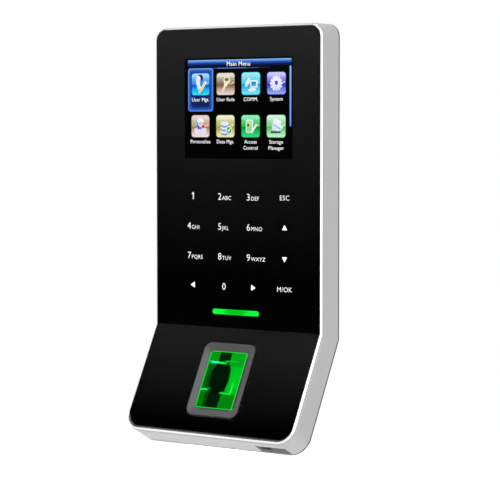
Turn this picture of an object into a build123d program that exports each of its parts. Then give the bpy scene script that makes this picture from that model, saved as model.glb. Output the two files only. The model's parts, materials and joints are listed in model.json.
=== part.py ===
from build123d import *
from math import cos, radians, sin, tan
import os

# Fingerprint scanner terminal that hangs on a steel wall plate.
# Millimetres, +Z up. The front faces -Y, the wall is the plane Y = 0.
# The origin is the centre of the wall plate's four screw holes, on the wall.
# The body is a slab folded along a crease: an upright upper leaf with the
# display and the keys, and a lower leaf that leans forward with the scanner.
# Depths are measured inwards from the front face of a leaf.

# ---------------------------------------------------------------- driving sizes
# Body
body_width = 78.0
upper_length = 115.4  # crease to the top edge
lower_length = 44.0  # crease to the bottom edge, along the slope
lean_angle = 28.2
body_depth = 12.0  # thickness of the silver band
box_depth = 7.1  # rear box behind the band
wall_gap = 0.3  # rear box to the wall
top_corner = 5.0
bottom_corner = 7.0
rim_width = 0.8
rim_chamfer = 0.55
rim_step = 0.15
rim_height = 1.6
ledge_width = 2.8
skirt_wall = 2.0
fit_gap = 0.15

# Front panel
glass_thickness = 1.8
film_thickness = 0.2
tape_thickness = 0.3
tape_width = 2.2
glass_gap = 0.1
bottom_groove = 0.7
glass_set_back = 0.1

# Display
display_below_top = 31.15  # centre of the window
window_width = 50.4
window_height = 38.4
cell_width = 57.0
cell_height = 45.0
cell_thickness = 1.5
cell_drop = 0.75  # centre of the cell below the window's
cell_corner = 0.5
backlight_width = 59.0
backlight_height = 49.0
backlight_thickness = 2.2
backlight_drop = 2.0  # more frame below the cell than above it
backlight_corner = 1.0
backlight_chamfer = 0.4
ribbon_thickness = 0.3
ribbon_width = 18.0
ribbon_start = 1.2  # in front of the backlight's back
ribbon_rise = 0.9  # in front of the main board
ribbon_bend = 0.6
ribbon_drop = 8.0
socket_size = (22.0, 5.0)
socket_drop = 6.5

# Touch keys: four rows of four
key_columns = 4
key_rows = 4
key_pitch_x = 14.3
key_pitch_z = 11.5
keys_above_crease = 33.2
touch_width = 66.0
touch_height = 46.0
touch_thickness = 1.0
touch_corner = 1.0
key_light = (3.0, 1.2, 0.7)
key_hole_radius = 0.9
coil_margin = 2.0
coil_track = 3.0
coil_thickness = 0.3
coil_corner = 3.0

# Status light
light_width = 22.3
light_height = 2.4
light_above_crease = 6.1
light_flange = 0.9
light_corner = 0.96
lamp_size = (2.8, 1.4, 1.0)
lamp_count = 3

# Scanner on the lower leaf
scanner_below_crease = 21.05
bezel_width = 23.5
bezel_height = 29.7
bezel_corner = 3.0
bezel_proud = 0.2
bezel_lip = 0.8
well_step = 0.3  # foot of the sloping sides to the pane
bezel_side = 2.85  # bezel outline to the pane
bezel_end = 3.0
pane_corner = 1.5
pane_depth = 0.4
bezel_flange = 1.9
flange_thickness = 1.2
prism_thickness = 5.0
prism_lip = 1.2  # plain edge above the slanted end
housing_wall = 3.4
cavity_corner = 1.0
scanner_rear_gap = 0.8
scanner_ribbon_width = 10.0
scanner_ribbon_set_in = 0.5
scanner_ribbon_knee = 1.5  # below the crease
scanner_ribbon_clear = 1.5  # below the main board
scanner_ribbon_lap = 6.0
scanner_board_thickness = 1.2
lens_radius = 1.9
lens_length = 3.0
lens_gap = 0.1  # bezel flange to the lens
sensor_size = (6.0, 4.4, 0.8)
sensor_base = (9.0, 5.0, 0.8)
scanner_screw_radius = 0.8
scanner_head_radius = 1.4
scanner_head_height = 0.5
scanner_light = (2.0, 1.4)
scanner_light_pitch = (6.0, 7.0)
scanner_light_rise = 2.0
seal_gap = 0.1
seal_width = 1.1
seal_thickness = 0.6

# Boards
board_gap = 1.3  # display to main board
board_thickness = 1.6
board_side_gap = 7.0
board_low = 4.0
board_top_gap = 4.4
board_corner = 1.5
board_screw_reach = 3.6
board_head_radius = 1.9
board_head_height = 0.8
post_radius = 2.4
post_side_gap = 2.6
post_low = 13.0
post_top_gap = 4.5
insert_length = 4.2
can_below_edge = 14.0
can_size = (22.0, 16.0, 1.8)
can_wall = 0.2
can_corner = 0.6
can_rounding = 0.4
processor_size = (13.0, 13.0, 1.1)
memory_size = (9.0, 12.0)
memory_offset = 18.0
flash_size = (5.0, 6.0)
flash_offset = (14.0, 16.0)
chip_height = 1.0
antenna_size = (24.0, 5.0, 0.8)
antenna_x = 12.0
antenna_below_edge = 3.0
antenna_corner = 0.5

# Wiring headers, speaker and coin cell
header_height = 5.0
header_width = 5.0
header_wall = 0.7
header_floor = 0.8
header_row_pitch = 7.5
header_side = 7.0
long_header = 24.0
low_header = 20.0
short_header = 10.0
pin_pitch = 2.0
pin_size = 0.5
pin_length = 3.2
pin_end_margin = 2.0
speaker_x = -9.0
speaker_rise = 22.0  # above the crease
speaker_radius = 8.0
speaker_height = 3.2
speaker_bowl = (6.6, 0.8)
speaker_magnet = (4.5, 0.8)
coin_x = 14.5
coin_rise = 24.0
coin_radius = 6.25
coin_thickness = 2.0
coin_rounding = 0.3
holder_radius = 7.6
holder_gap = 0.15
holder_height = 2.6
holder_floor = 0.8
holder_slot = (5.0, 16.0)

# Rear cover
cover_wall = 1.8
box_inset = 6.0
box_low = 1.6
box_top_gap = 7.0
box_corner = 4.0
recess_floor = 1.7
recess_depth = 3.2
wiring_window = (30.0, 26.0)
wiring_corner = 2.0
wiring_drop = 1.0  # centre of the window below the plate's centre
seal_strip = 3.0  # foam round the window
seal_strip_thickness = 1.5
reset_pin_radius = 0.9
sound_hole_radius = 0.7
sound_ring_radius = 4.0
sound_ring_count = 6
label_size = (34.0, 14.0, 0.1)
label_corner = 1.0
label_spot = (-3.0, -24.0)

# Wall plate
plate_thickness = 1.2
plate_side_gap = 2.2
plate_top_gap = 3.1
plate_low_gap = 0.6  # left under the plate when the terminal is lifted
plate_corner = 3.0
hole_side_margin = 7.0
hole_end_margin = 9.5
wall_hole_radius = 2.2
cable_hole_side_margin = 11.0
cable_hole_top_margin = 14.5
cable_hole_low_margin = 24.5
hook_width = 6.0
hook_side_margin = 5.5
upper_hook_margin = 28.5
lower_hook_margin = 20.5
hook_rise = 6.2
hook_set_off = 6.5
hang_gap = 0.05
slot_spare = 0.5  # below the hooks, and beside them
lift_travel = 6.5
tab_width = 20.0
tab_length = 6.4
tab_gap = 0.6
neck_lap = 2.0
cable_hole_corner = 4.0

# Fasteners
cover_screw_radius = 1.0
cover_head_radius = 1.9
screw_clearance = 0.05
boss_radius = 2.6
boss_floor = 1.0
boss_set_back = 0.6
screw_tip_gap = 0.4
top_screw_side = 9.0
top_screw_drop = 4.6
side_screw_side = 5.6
side_screw_drop = 10.0
low_screw_gap = 0.65
low_screw_rise = 5.4
sink_depth = 1.1
head_sunk = 0.1
board_screw_radius = 1.0
security_screw_radius = 1.5
security_head_radius = 2.6
security_head_height = 2.0
security_head_rounding = 0.6
security_key_radius = 1.15
security_key_depth = 1.2
security_tip_gap = 1.0
security_forward = 0.4  # head clear of the band's back
security_insert_length = 6.0
insert_wall = 0.7
block_spare = 4.5
neck_room = 1.0

# Ports and switches
port_edge_gap = 5.5  # slot to the side of the body
port_rear_strip = 0.9
port_slot_width = 13.5
port_slot_height = 6.0
port_shell_width = 13.1
port_shell_height = 5.7
port_shell_length = 14.0
port_shell_wall = 0.3
port_recess = 0.8
port_post_height = 23.0  # above the bottom edge
port_post_bore = 4.5
port_screw_reach = 4.0
port_board_thickness = 1.2
port_board_size = (14.0, 22.0)
port_board_low = 4.0  # above the mouth
tongue_set_in = 0.45
tongue_length = 12.2
tongue_block = 3.0
contact_pitch = 2.2
contact_size = (1.0, 8.0, 0.15)
contact_inset = 3.0
tongue_thickness = 1.8
tongue_width = 11.0
tamper_x = 0.0
tamper_below_hole_top = 12.0
plunger_radius = 1.2
plunger_travel = 1.5
plunger_short = 0.2
plunger_tip_rounding = 0.5
plunger_nose = 0.8  # rod in front of the collar
collar_gap = 0.3
switch_side = 6.0
switch_corner = 0.4
nub_radius = 1.0
nub_height = 0.3
nub_gap = 0.1
collar_radius = 2.2
collar_thickness = 0.7
spring_wire = 0.15
spring_turns = 3
reset_x = 10.0
reset_radius = 1.0
reset_travel = 0.25
reset_stop = 0.05
reset_side = 4.6
reset_height = 2.2
reset_corner = 0.3
reset_well = 1.1
reset_button_back = 1.9  # behind the well's floor
moving_gap = 0.35

# ---------------------------------------------------------------- derived places
total_depth = body_depth + box_depth + wall_gap
cover_front = body_depth - cover_wall
inner_inset = rim_width + ledge_width

box_width = body_width - 2 * box_inset
box_inner_width = box_width - 2 * cover_wall
box_high = upper_length - box_top_gap
box_inner_low = box_low + cover_wall
box_inner_high = box_high - cover_wall
box_middle = (box_low + box_high) / 2
box_back = total_depth - wall_gap
box_floor_back = box_back - recess_depth
box_floor_front = box_floor_back - recess_floor

plate_front = total_depth - plate_thickness
plate_width = box_inner_width - 2 * plate_side_gap
plate_low = box_inner_low + lift_travel + plate_low_gap
plate_high = box_inner_high - plate_top_gap
plate_height = plate_high - plate_low
plate_above_crease = (plate_low + plate_high) / 2
screw_spacing_x = plate_width - 2 * hole_side_margin
screw_spacing_z = plate_height - 2 * hole_end_margin
hook_x = plate_width / 2 - hook_side_margin
hook_levels = (plate_high - upper_hook_margin, plate_low + lower_hook_margin)
cable_hole_top = plate_high - cable_hole_top_margin
cable_hole_low = plate_low + cable_hole_low_margin
tamper_spot = (tamper_x, cable_hole_top - tamper_below_hole_top)
reset_spot = (reset_x, cable_hole_top - tamper_below_hole_top)
wiring_spot = (0, plate_above_crease - wiring_drop)
speaker_spot = (speaker_x, speaker_rise)
tab_top = box_low - tab_gap
security_depth = body_depth + security_head_radius + security_forward
block_back = plate_front - 2 * fit_gap
block_width = tab_width * 0.7
block_height = security_insert_length + block_spare

front_y = -total_depth
crease_z = -plate_above_crease
lean = radians(lean_angle)
fold = tan(lean / 2)
upper_leaf = Plane(origin=(0, front_y, crease_z), x_dir=(1, 0, 0), z_dir=(0, -1, 0))
lower_leaf = Plane(
    origin=(0, front_y, crease_z), x_dir=(1, 0, 0), z_dir=(0, -cos(lean), sin(lean))
)
bend_plane = Plane(origin=(0, front_y, crease_z), x_dir=(1, 0, 0), z_dir=(0, fold, 1))
fold_overlap = 2 * body_depth

film_back = glass_thickness + film_thickness
ledge_depth = film_back + tape_thickness
cell_back = film_back + cell_thickness
backlight_back = cell_back + backlight_thickness
board_front_depth = backlight_back + board_gap
board_back = board_front_depth + board_thickness
board_width = body_width - 2 * board_side_gap
board_high = box_high - board_top_gap
board_middle = (board_low + board_high) / 2
board_height = board_high - board_low
post_x = box_inner_width / 2 - post_side_gap
post_high = board_high - post_top_gap
post_spots = [(x, z) for x in (-post_x, post_x) for z in (post_low, post_high)]

scanner_spot = (0, -scanner_below_crease)
pane_width = bezel_width - 2 * bezel_side
pane_height = bezel_height - 2 * bezel_end
light_spot = (0, light_above_crease)
display_spot = (0, upper_length - display_below_top)
touch_spot = (0, keys_above_crease)

flange_back = film_back + flange_thickness
flange_width = bezel_width + 2 * bezel_flange
flange_height = bezel_height + 2 * bezel_flange
scanner_board_back = cover_front - scanner_rear_gap
housing_back = scanner_board_back - scanner_board_thickness

port_centre_x = body_width / 2 - port_edge_gap - port_slot_width / 2
port_back_depth = body_depth - port_rear_strip
port_front_depth = port_back_depth - port_slot_height
port_post = (port_centre_x, port_post_height - lower_length)

top_screw_x = body_width / 2 - top_screw_side
side_screw_x = body_width / 2 - side_screw_side
low_screw_x = flange_width / 2 + boss_radius + low_screw_gap
cover_screw_rows = (
    (
        upper_leaf,
        [(side * top_screw_x, upper_length - top_screw_drop) for side in (-1, 1)],
    ),
    (
        lower_leaf,
        [(side * side_screw_x, -side_screw_drop) for side in (-1, 1)]
        + [(side * low_screw_x, low_screw_rise - lower_length) for side in (-1, 1)],
    ),
)

os.makedirs("parts", exist_ok=True)


# ---------------------------------------------------------------- helpers
def leaf(plane, side, front, back, inset, end_inset, chamfered=0.0):
    """One leaf of a folded layer between two depths, cut off at the bend."""
    length = upper_length if side > 0 else lower_length
    corner = (top_corner if side > 0 else bottom_corner) - inset
    reach = length - end_inset
    with BuildPart() as piece:
        with BuildSketch(plane.offset(-front)):
            with Locations((0, side * (reach - fold_overlap) / 2)):
                RectangleRounded(body_width - 2 * inset, reach + fold_overlap, corner)
        extrude(amount=front - back)
        if chamfered:
            outline = faces().filter_by(Axis((0, 0, 0), plane.z_dir)).sort_by(Axis.Y)[0]
            chamfer(outline.edges(), chamfered)
        split(bisect_by=bend_plane, keep=Keep.TOP if side > 0 else Keep.BOTTOM)
    return piece.part


def folded(front, back, inset, end_inset=None, chamfered=0.0):
    """A layer that follows both leaves, set in from the body's outline."""
    bottom = inset if end_inset is None else end_inset
    with BuildPart() as layer:
        add(leaf(upper_leaf, 1, front, back, inset, inset, chamfered))
        add(leaf(lower_leaf, -1, front, back, inset, bottom, chamfered))
    return layer.part


def slab(plane, front, back, width, height, centre=(0, 0), corner=0.0):
    """A rectangular piece that lies in a leaf between two depths."""
    with BuildPart() as piece:
        with BuildSketch(plane.offset(-front)):
            with Locations(centre):
                if corner:
                    RectangleRounded(width, height, corner)
                else:
                    Rectangle(width, height)
        extrude(amount=front - back)
    return piece.part


def rods(plane, front, back, radius, centres):
    """Round pieces that stand square to a leaf between two depths."""
    with BuildPart() as piece:
        with BuildSketch(plane.offset(-front)):
            with Locations(*centres):
                Circle(radius)
        extrude(amount=front - back)
    return piece.part


def screws(plane, tip, head_back, head_height, radius, head_radius, centres):
    """Pan head screws driven towards the front of a leaf, with a cross recess each."""
    with BuildPart() as group:
        add(rods(plane, tip, head_back - head_height, radius, centres))
        add(rods(plane, head_back - head_height, head_back, head_radius, centres))
        with BuildSketch(plane.offset(-head_back)):
            with Locations(*centres):
                Rectangle(head_radius * 1.2, head_radius * 0.3)
                Rectangle(head_radius * 0.3, head_radius * 1.2)
        extrude(amount=head_height * 0.5, mode=Mode.SUBTRACT)
    return group.part


def keep(piece, name):
    """Label a finished piece and write its file."""
    piece.label = name
    export_step(piece, f"parts/{name}.step")


# ---------------------------------------------------------------- front panel
glass_inset = rim_width + glass_gap
glass_end = rim_width + bottom_groove
hole_gap = 0.1

with BuildPart() as front_glass:
    add(folded(0, glass_thickness, glass_inset, glass_end, chamfered=0.25))
    with BuildSketch(lower_leaf):
        with Locations(scanner_spot):
            RectangleRounded(
                bezel_width + 2 * hole_gap, bezel_height + 2 * hole_gap, bezel_corner + hole_gap
            )
    extrude(amount=-glass_thickness, mode=Mode.SUBTRACT)
keep(front_glass.part, "front_glass")

with BuildPart() as mask_film:
    add(folded(glass_thickness, film_back, glass_inset, glass_end))
    with BuildSketch(upper_leaf.offset(-glass_thickness)):
        with Locations(display_spot):
            Rectangle(window_width, window_height)
        with Locations(light_spot):
            RectangleRounded(light_width, light_height, light_corner)
    extrude(amount=-film_thickness, mode=Mode.SUBTRACT)
    with BuildSketch(lower_leaf.offset(-glass_thickness)):
        with Locations(scanner_spot):
            RectangleRounded(
                bezel_width + 2 * hole_gap, bezel_height + 2 * hole_gap, bezel_corner + hole_gap
            )
    extrude(amount=-film_thickness, mode=Mode.SUBTRACT)
keep(mask_film.part, "mask_film")

with BuildPart() as panel_tape:
    add(folded(film_back, ledge_depth, glass_inset, glass_end))
    add(
        folded(film_back, ledge_depth, glass_inset + tape_width, glass_end + tape_width),
        mode=Mode.SUBTRACT,
    )
keep(panel_tape.part, "panel_tape")

# Grey bead in the groove round the bottom edge of the glass
bead_front = 0.7
bead_reach = lower_length - 0.8 * bottom_corner
with BuildPart() as edge_bead:
    add(leaf(lower_leaf, -1, bead_front, film_back, rim_width, rim_width))
    add(
        leaf(lower_leaf, -1, bead_front, film_back, glass_inset, glass_end),
        mode=Mode.SUBTRACT,
    )
    with BuildSketch(lower_leaf):
        with Locations((0, -bead_reach / 2 + fold_overlap / 2)):
            Rectangle(body_width, bead_reach + fold_overlap)
    extrude(amount=-film_back, mode=Mode.SUBTRACT)
keep(edge_bead.part, "edge_bead")

# ---------------------------------------------------------------- body shell
boss_front = ledge_depth + boss_set_back
with BuildPart() as body_shell:
    add(folded(glass_set_back, rim_height, rim_step, chamfered=rim_chamfer))
    add(folded(rim_height, body_depth, 0))
    add(folded(0, ledge_depth, rim_width), mode=Mode.SUBTRACT)
    add(folded(ledge_depth, cover_front, inner_inset), mode=Mode.SUBTRACT)
    add(folded(cover_front, body_depth, skirt_wall), mode=Mode.SUBTRACT)
    for plane, spots in cover_screw_rows:
        add(rods(plane, boss_front, cover_front, boss_radius, spots))
        add(
            rods(
                plane, boss_front + boss_floor, cover_front,
                cover_screw_radius + screw_clearance, spots,
            ),
            mode=Mode.SUBTRACT,
        )
    with BuildSketch(lower_leaf.offset(-port_front_depth)):
        with Locations((port_centre_x, -lower_length)):
            Rectangle(port_slot_width, 2 * (bottom_corner + fit_gap))
    extrude(amount=-port_slot_height, mode=Mode.SUBTRACT)
keep(body_shell.part, "body_shell")

# ---------------------------------------------------------------- rear cover
port_pocket = port_back_depth - cover_front
port_pocket_spare = 2.0
slot_low = lift_travel + slot_spare
with BuildPart() as rear_cover:
    add(folded(cover_front, body_depth, skirt_wall + fit_gap))
    add(
        slab(
            upper_leaf, body_depth, box_back, box_width, box_high - box_low,
            (0, box_middle), box_corner,
        )
    )
    add(
        slab(
            upper_leaf, cover_front, box_floor_front, box_inner_width,
            box_inner_high - box_inner_low, (0, box_middle), box_corner - cover_wall,
        ),
        mode=Mode.SUBTRACT,
    )
    add(
        slab(
            upper_leaf, box_floor_back, box_back, box_inner_width,
            box_inner_high - box_inner_low, (0, box_middle), box_corner - cover_wall,
        ),
        mode=Mode.SUBTRACT,
    )
    # block for the security screw's insert, and room for the plate's neck behind it
    add(
        slab(
            upper_leaf, cover_front, block_back, block_width, block_height,
            (0, box_low + block_height / 2),
        )
    )
    add(
        slab(
            upper_leaf, block_back, box_back, tab_width + 2 * neck_room,
            2 * cover_wall + neck_room, (0, box_low + cover_wall / 2),
        ),
        mode=Mode.SUBTRACT,
    )
    with BuildSketch(Plane.XY.offset(crease_z + box_low)):
        with Locations((0, front_y + security_depth)):
            Circle(security_screw_radius + insert_wall)
    extrude(amount=security_insert_length, mode=Mode.SUBTRACT)
    # posts for the main board, and one for the port board
    add(rods(upper_leaf, board_back, box_floor_front, post_radius, post_spots))
    add(rods(lower_leaf, port_front_depth + fit_gap, cover_front, post_radius, [port_post]))
    add(
        rods(
            upper_leaf, board_back, board_back + insert_length,
            board_screw_radius + insert_wall, post_spots,
        ),
        mode=Mode.SUBTRACT,
    )
    add(
        rods(
            lower_leaf, port_front_depth + fit_gap, port_front_depth + port_post_bore,
            board_screw_radius + screw_clearance, [port_post],
        ),
        mode=Mode.SUBTRACT,
    )
    # openings in the floor of the recess
    with BuildSketch(upper_leaf.offset(-box_floor_front)):
        with Locations(wiring_spot):
            RectangleRounded(*wiring_window, wiring_corner)
        with Locations(tamper_spot):
            Circle(plunger_radius + moving_gap)
        with Locations(reset_spot):
            Circle(reset_pin_radius)
        with Locations(speaker_spot):
            Circle(sound_hole_radius)
            with PolarLocations(sound_ring_radius, sound_ring_count):
                Circle(sound_hole_radius)
        for level in hook_levels:
            top = level + plate_thickness + hang_gap
            low = level - slot_low
            with Locations((-hook_x, (top + low) / 2), (hook_x, (top + low) / 2)):
                Rectangle(hook_width + 2 * slot_spare, top - low)
    extrude(amount=-recess_floor, mode=Mode.SUBTRACT)
    # sunk holes for the cover screws
    for plane, spots in cover_screw_rows:
        add(
            rods(
                plane, cover_front, body_depth, cover_screw_radius + 2 * screw_clearance, spots
            ),
            mode=Mode.SUBTRACT,
        )
        add(
            rods(
                plane, body_depth - sink_depth, body_depth, cover_head_radius + fit_gap, spots
            ),
            mode=Mode.SUBTRACT,
        )
    # room for the port's shell
    with BuildSketch(lower_leaf.offset(-cover_front)):
        with Locations((port_centre_x, port_shell_length / 2 - lower_length)):
            Rectangle(port_slot_width, port_shell_length + 2 * port_pocket_spare)
    extrude(amount=-port_pocket, mode=Mode.SUBTRACT)
keep(rear_cover.part, "rear_cover")

with BuildPart() as cover_screws:
    for plane, spots in cover_screw_rows:
        add(
            screws(
                plane, boss_front + boss_floor + screw_tip_gap, body_depth - head_sunk,
                sink_depth - head_sunk, cover_screw_radius, cover_head_radius, spots,
            )
        )
keep(cover_screws.part, "cover_screws")

with BuildPart() as blank_label:
    with BuildSketch(lower_leaf.offset(-body_depth)):
        with Locations(label_spot):
            RectangleRounded(label_size[0], label_size[1], label_corner)
    extrude(amount=-label_size[2])
keep(blank_label.part, "blank_label")

with BuildPart() as window_seal:
    with BuildSketch(upper_leaf.offset(-box_floor_back)):
        with Locations(wiring_spot):
            RectangleRounded(
                wiring_window[0] + 2 * seal_strip,
                wiring_window[1] + 2 * seal_strip,
                wiring_corner + seal_strip / 2,
            )
            RectangleRounded(*wiring_window, wiring_corner, mode=Mode.SUBTRACT)
    extrude(amount=-seal_strip_thickness)
keep(window_seal.part, "window_seal")

# ---------------------------------------------------------------- display
cell_spot = (0, display_spot[1] - cell_drop)
backlight_spot = (0, cell_spot[1] - backlight_drop)
with BuildPart() as display_cell:
    with BuildSketch(upper_leaf.offset(-film_back)):
        with Locations(cell_spot):
            RectangleRounded(cell_width, cell_height, cell_corner)
    extrude(amount=-cell_thickness)
keep(display_cell.part, "display_cell")

with BuildPart() as display_backlight:
    add(
        slab(
            upper_leaf, cell_back, backlight_back, backlight_width, backlight_height,
            backlight_spot, backlight_corner,
        )
    )
    back_face = faces().filter_by(Axis.Y).sort_by(Axis.Y)[-1]
    chamfer(back_face.edges(), backlight_chamfer)
keep(display_backlight.part, "display_backlight")

ribbon_edge = backlight_spot[1] - backlight_height / 2
ribbon_run_y = front_y + board_front_depth - ribbon_rise
ribbon_top_z = crease_z + ribbon_edge
with BuildPart() as display_ribbon:
    with BuildSketch(Plane.YZ):
        with BuildLine() as ribbon_path:
            Polyline(
                (front_y + backlight_back - ribbon_start, ribbon_top_z - ribbon_thickness / 2),
                (ribbon_run_y, ribbon_top_z - ribbon_bend),
                (ribbon_run_y, ribbon_top_z - ribbon_drop),
            )
        trace(ribbon_path.edges(), ribbon_thickness)
    extrude(amount=ribbon_width / 2, both=True)
keep(display_ribbon.part, "display_ribbon")

socket_front = board_front_depth - ribbon_rise + ribbon_thickness / 2
with BuildPart() as ribbon_socket:
    with BuildSketch(upper_leaf.offset(-socket_front)):
        with Locations((0, ribbon_edge - socket_drop)):
            Rectangle(*socket_size)
    extrude(amount=socket_front - board_front_depth)
keep(ribbon_socket.part, "ribbon_socket")

# ---------------------------------------------------------------- touch keys
touch_back = film_back + touch_thickness
with BuildPart() as touch_board:
    add(
        slab(
            upper_leaf, film_back, touch_back, touch_width, touch_height,
            touch_spot, touch_corner,
        )
    )
    with BuildSketch(upper_leaf.offset(-film_back)):
        with Locations(touch_spot):
            with GridLocations(key_pitch_x, key_pitch_z, key_columns, key_rows):
                Circle(key_hole_radius)
    extrude(amount=-touch_thickness, mode=Mode.SUBTRACT)
keep(touch_board.part, "touch_board")

with BuildPart() as key_lights:
    with BuildSketch(upper_leaf.offset(-touch_back)):
        with Locations(touch_spot):
            with GridLocations(key_pitch_x, key_pitch_z, key_columns, key_rows):
                Rectangle(key_light[0], key_light[1])
    extrude(amount=-key_light[2])
keep(key_lights.part, "key_lights")

coil_width = touch_width - 2 * coil_margin
coil_height = touch_height - 2 * coil_margin
with BuildPart() as card_coil:
    add(
        slab(
            upper_leaf, touch_back, touch_back + coil_thickness, coil_width, coil_height,
            touch_spot, coil_corner,
        )
    )
    add(
        slab(
            upper_leaf, touch_back, touch_back + coil_thickness, coil_width - 2 * coil_track,
            coil_height - 2 * coil_track, touch_spot, coil_corner / 3,
        ),
        mode=Mode.SUBTRACT,
    )
keep(card_coil.part, "card_coil")

# ---------------------------------------------------------------- status light
guide_back = board_front_depth - lamp_size[2]
with BuildPart() as status_light_guide:
    add(
        slab(
            upper_leaf, glass_thickness, film_back, light_width, light_height,
            light_spot, light_corner,
        )
    )
    add(
        slab(
            upper_leaf, film_back, guide_back, light_width + 2 * light_flange,
            light_height + light_flange, light_spot, light_corner / 2,
        )
    )
keep(status_light_guide.part, "status_light_guide")

with BuildPart() as status_lights:
    with BuildSketch(upper_leaf.offset(-guide_back)):
        with Locations(light_spot):
            with GridLocations(light_width / lamp_count, 1, lamp_count, 1):
                Rectangle(lamp_size[0], lamp_size[1])
    extrude(amount=-lamp_size[2])
keep(status_lights.part, "status_lights")

# ---------------------------------------------------------------- fingerprint scanner
with BuildPart() as scanner_bezel:
    add(
        slab(
            lower_leaf, -bezel_proud, film_back, bezel_width, bezel_height,
            scanner_spot, bezel_corner,
        )
    )
    front_face = faces().filter_by(Axis((0, 0, 0), lower_leaf.z_dir)).sort_by(Axis.Y)[0]
    chamfer(front_face.edges(), bezel_proud)
    add(
        slab(
            lower_leaf, film_back, flange_back, flange_width, flange_height,
            scanner_spot, bezel_corner,
        )
    )
    # sloping sides of the finger well
    with BuildSketch(lower_leaf.offset(bezel_proud)) as well_mouth:
        with Locations(scanner_spot):
            RectangleRounded(
                bezel_width - 2 * bezel_lip, bezel_height - 2 * bezel_lip, bezel_corner - bezel_lip
            )
    with BuildSketch(lower_leaf.offset(-pane_depth)) as well_floor:
        with Locations(scanner_spot):
            RectangleRounded(
                pane_width + 2 * well_step, pane_height + 2 * well_step, pane_corner + well_step
            )
    loft(mode=Mode.SUBTRACT)
    add(
        slab(
            lower_leaf, 0, flange_back, pane_width, pane_height, scanner_spot, pane_corner,
        ),
        mode=Mode.SUBTRACT,
    )
keep(scanner_bezel.part, "scanner_bezel")

prism_width = pane_width - 2 * seal_gap
prism_length = pane_height - 2 * seal_gap
prism_back = pane_depth + prism_thickness
with BuildPart() as scanner_prism:
    add(
        slab(
            lower_leaf, pane_depth, prism_back, prism_width, prism_length,
            scanner_spot, pane_corner - seal_gap,
        )
    )
    # slanted end that turns the light towards the lens
    prism_end = scanner_below_crease + prism_length / 2
    slant_start = pane_depth + prism_lip
    slant = Plane(
        origin=lower_leaf.from_local_coords((0, -prism_end, -slant_start)),
        x_dir=(1, 0, 0),
        z_dir=lower_leaf.from_local_coords((0, -1, -1)) - lower_leaf.origin,
    )
    split(bisect_by=slant, keep=Keep.BOTTOM)
keep(scanner_prism.part, "scanner_prism")

with BuildPart() as scanner_seal:
    with BuildSketch(lower_leaf.offset(-flange_back)):
        with Locations(scanner_spot):
            RectangleRounded(
                pane_width + 2 * seal_width, pane_height + 2 * seal_width, pane_corner + seal_width
            )
            RectangleRounded(pane_width, pane_height, pane_corner, mode=Mode.SUBTRACT)
    extrude(amount=-seal_thickness)
keep(scanner_seal.part, "scanner_seal")

cavity_width = flange_width - 2 * housing_wall
cavity_height = flange_height - 2 * housing_wall
lens_depth = flange_back + lens_gap + lens_radius
with BuildPart() as scanner_housing:
    add(
        slab(
            lower_leaf, flange_back, housing_back, flange_width, flange_height,
            scanner_spot, bezel_corner,
        )
    )
    add(
        slab(
            lower_leaf, flange_back, housing_back, cavity_width, cavity_height,
            scanner_spot, cavity_corner,
        ),
        mode=Mode.SUBTRACT,
    )
    scanner_screw_x = (flange_width - housing_wall) / 2
    scanner_screw_z = (flange_height - housing_wall) / 2
    scanner_screws_at = [
        (x, z - scanner_below_crease)
        for x in (-scanner_screw_x, scanner_screw_x)
        for z in (-scanner_screw_z, scanner_screw_z)
    ]
    add(
        rods(
            lower_leaf, flange_back, housing_back, scanner_screw_radius + screw_clearance,
            scanner_screws_at,
        ),
        mode=Mode.SUBTRACT,
    )
    # bore for the lens at the end nearest the crease
    with BuildSketch(
        Plane(
            origin=lower_leaf.from_local_coords(
                (0, flange_height / 2 - scanner_below_crease, -lens_depth)
            ),
            x_dir=(1, 0, 0),
            z_dir=lower_leaf.y_dir,
        )
    ):
        Circle(lens_radius)
    extrude(amount=-housing_wall, mode=Mode.SUBTRACT)
keep(scanner_housing.part, "scanner_housing")

lens_plane = Plane(
    origin=lower_leaf.from_local_coords(
        (0, flange_height / 2 - housing_wall - scanner_below_crease, -lens_depth)
    ),
    x_dir=(1, 0, 0),
    z_dir=lower_leaf.y_dir,
)
lens_reach = housing_wall + lens_length
with BuildPart() as scanner_lens:
    with BuildSketch(lens_plane):
        Circle(lens_radius)
    extrude(amount=lens_reach)
    chamfer(edges().filter_by(GeomType.CIRCLE), 0.3)
keep(scanner_lens.part, "scanner_lens")

with BuildPart() as image_sensor:
    with BuildSketch(lens_plane.offset(lens_reach)):
        Rectangle(sensor_size[0], sensor_size[1])
    extrude(amount=sensor_size[2])
    with BuildSketch(lens_plane.offset(lens_reach + sensor_size[2])):
        Rectangle(sensor_base[0], sensor_base[1])
    extrude(amount=sensor_base[2])
keep(image_sensor.part, "image_sensor")

with BuildPart() as scanner_board:
    add(
        slab(
            lower_leaf, housing_back, scanner_board_back, flange_width, flange_height,
            scanner_spot, bezel_corner,
        )
    )
    add(
        rods(
            lower_leaf, housing_back, scanner_board_back,
            scanner_screw_radius + screw_clearance, scanner_screws_at,
        ),
        mode=Mode.SUBTRACT,
    )
keep(scanner_board.part, "scanner_board")

with BuildPart() as scanner_lights:
    with BuildSketch(lower_leaf.offset(-prism_back)):
        with Locations((0, scanner_light_rise - scanner_below_crease)):
            with GridLocations(*scanner_light_pitch, 3, 2):
                Rectangle(*scanner_light)
    extrude(amount=prism_back - housing_back)
keep(scanner_lights.part, "scanner_lights")

with BuildPart() as scanner_screws:
    add(
        screws(
            lower_leaf, flange_back, scanner_board_back + scanner_head_height,
            scanner_head_height, scanner_screw_radius, scanner_head_radius, scanner_screws_at,
        )
    )
keep(scanner_screws.part, "scanner_screws")

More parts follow.
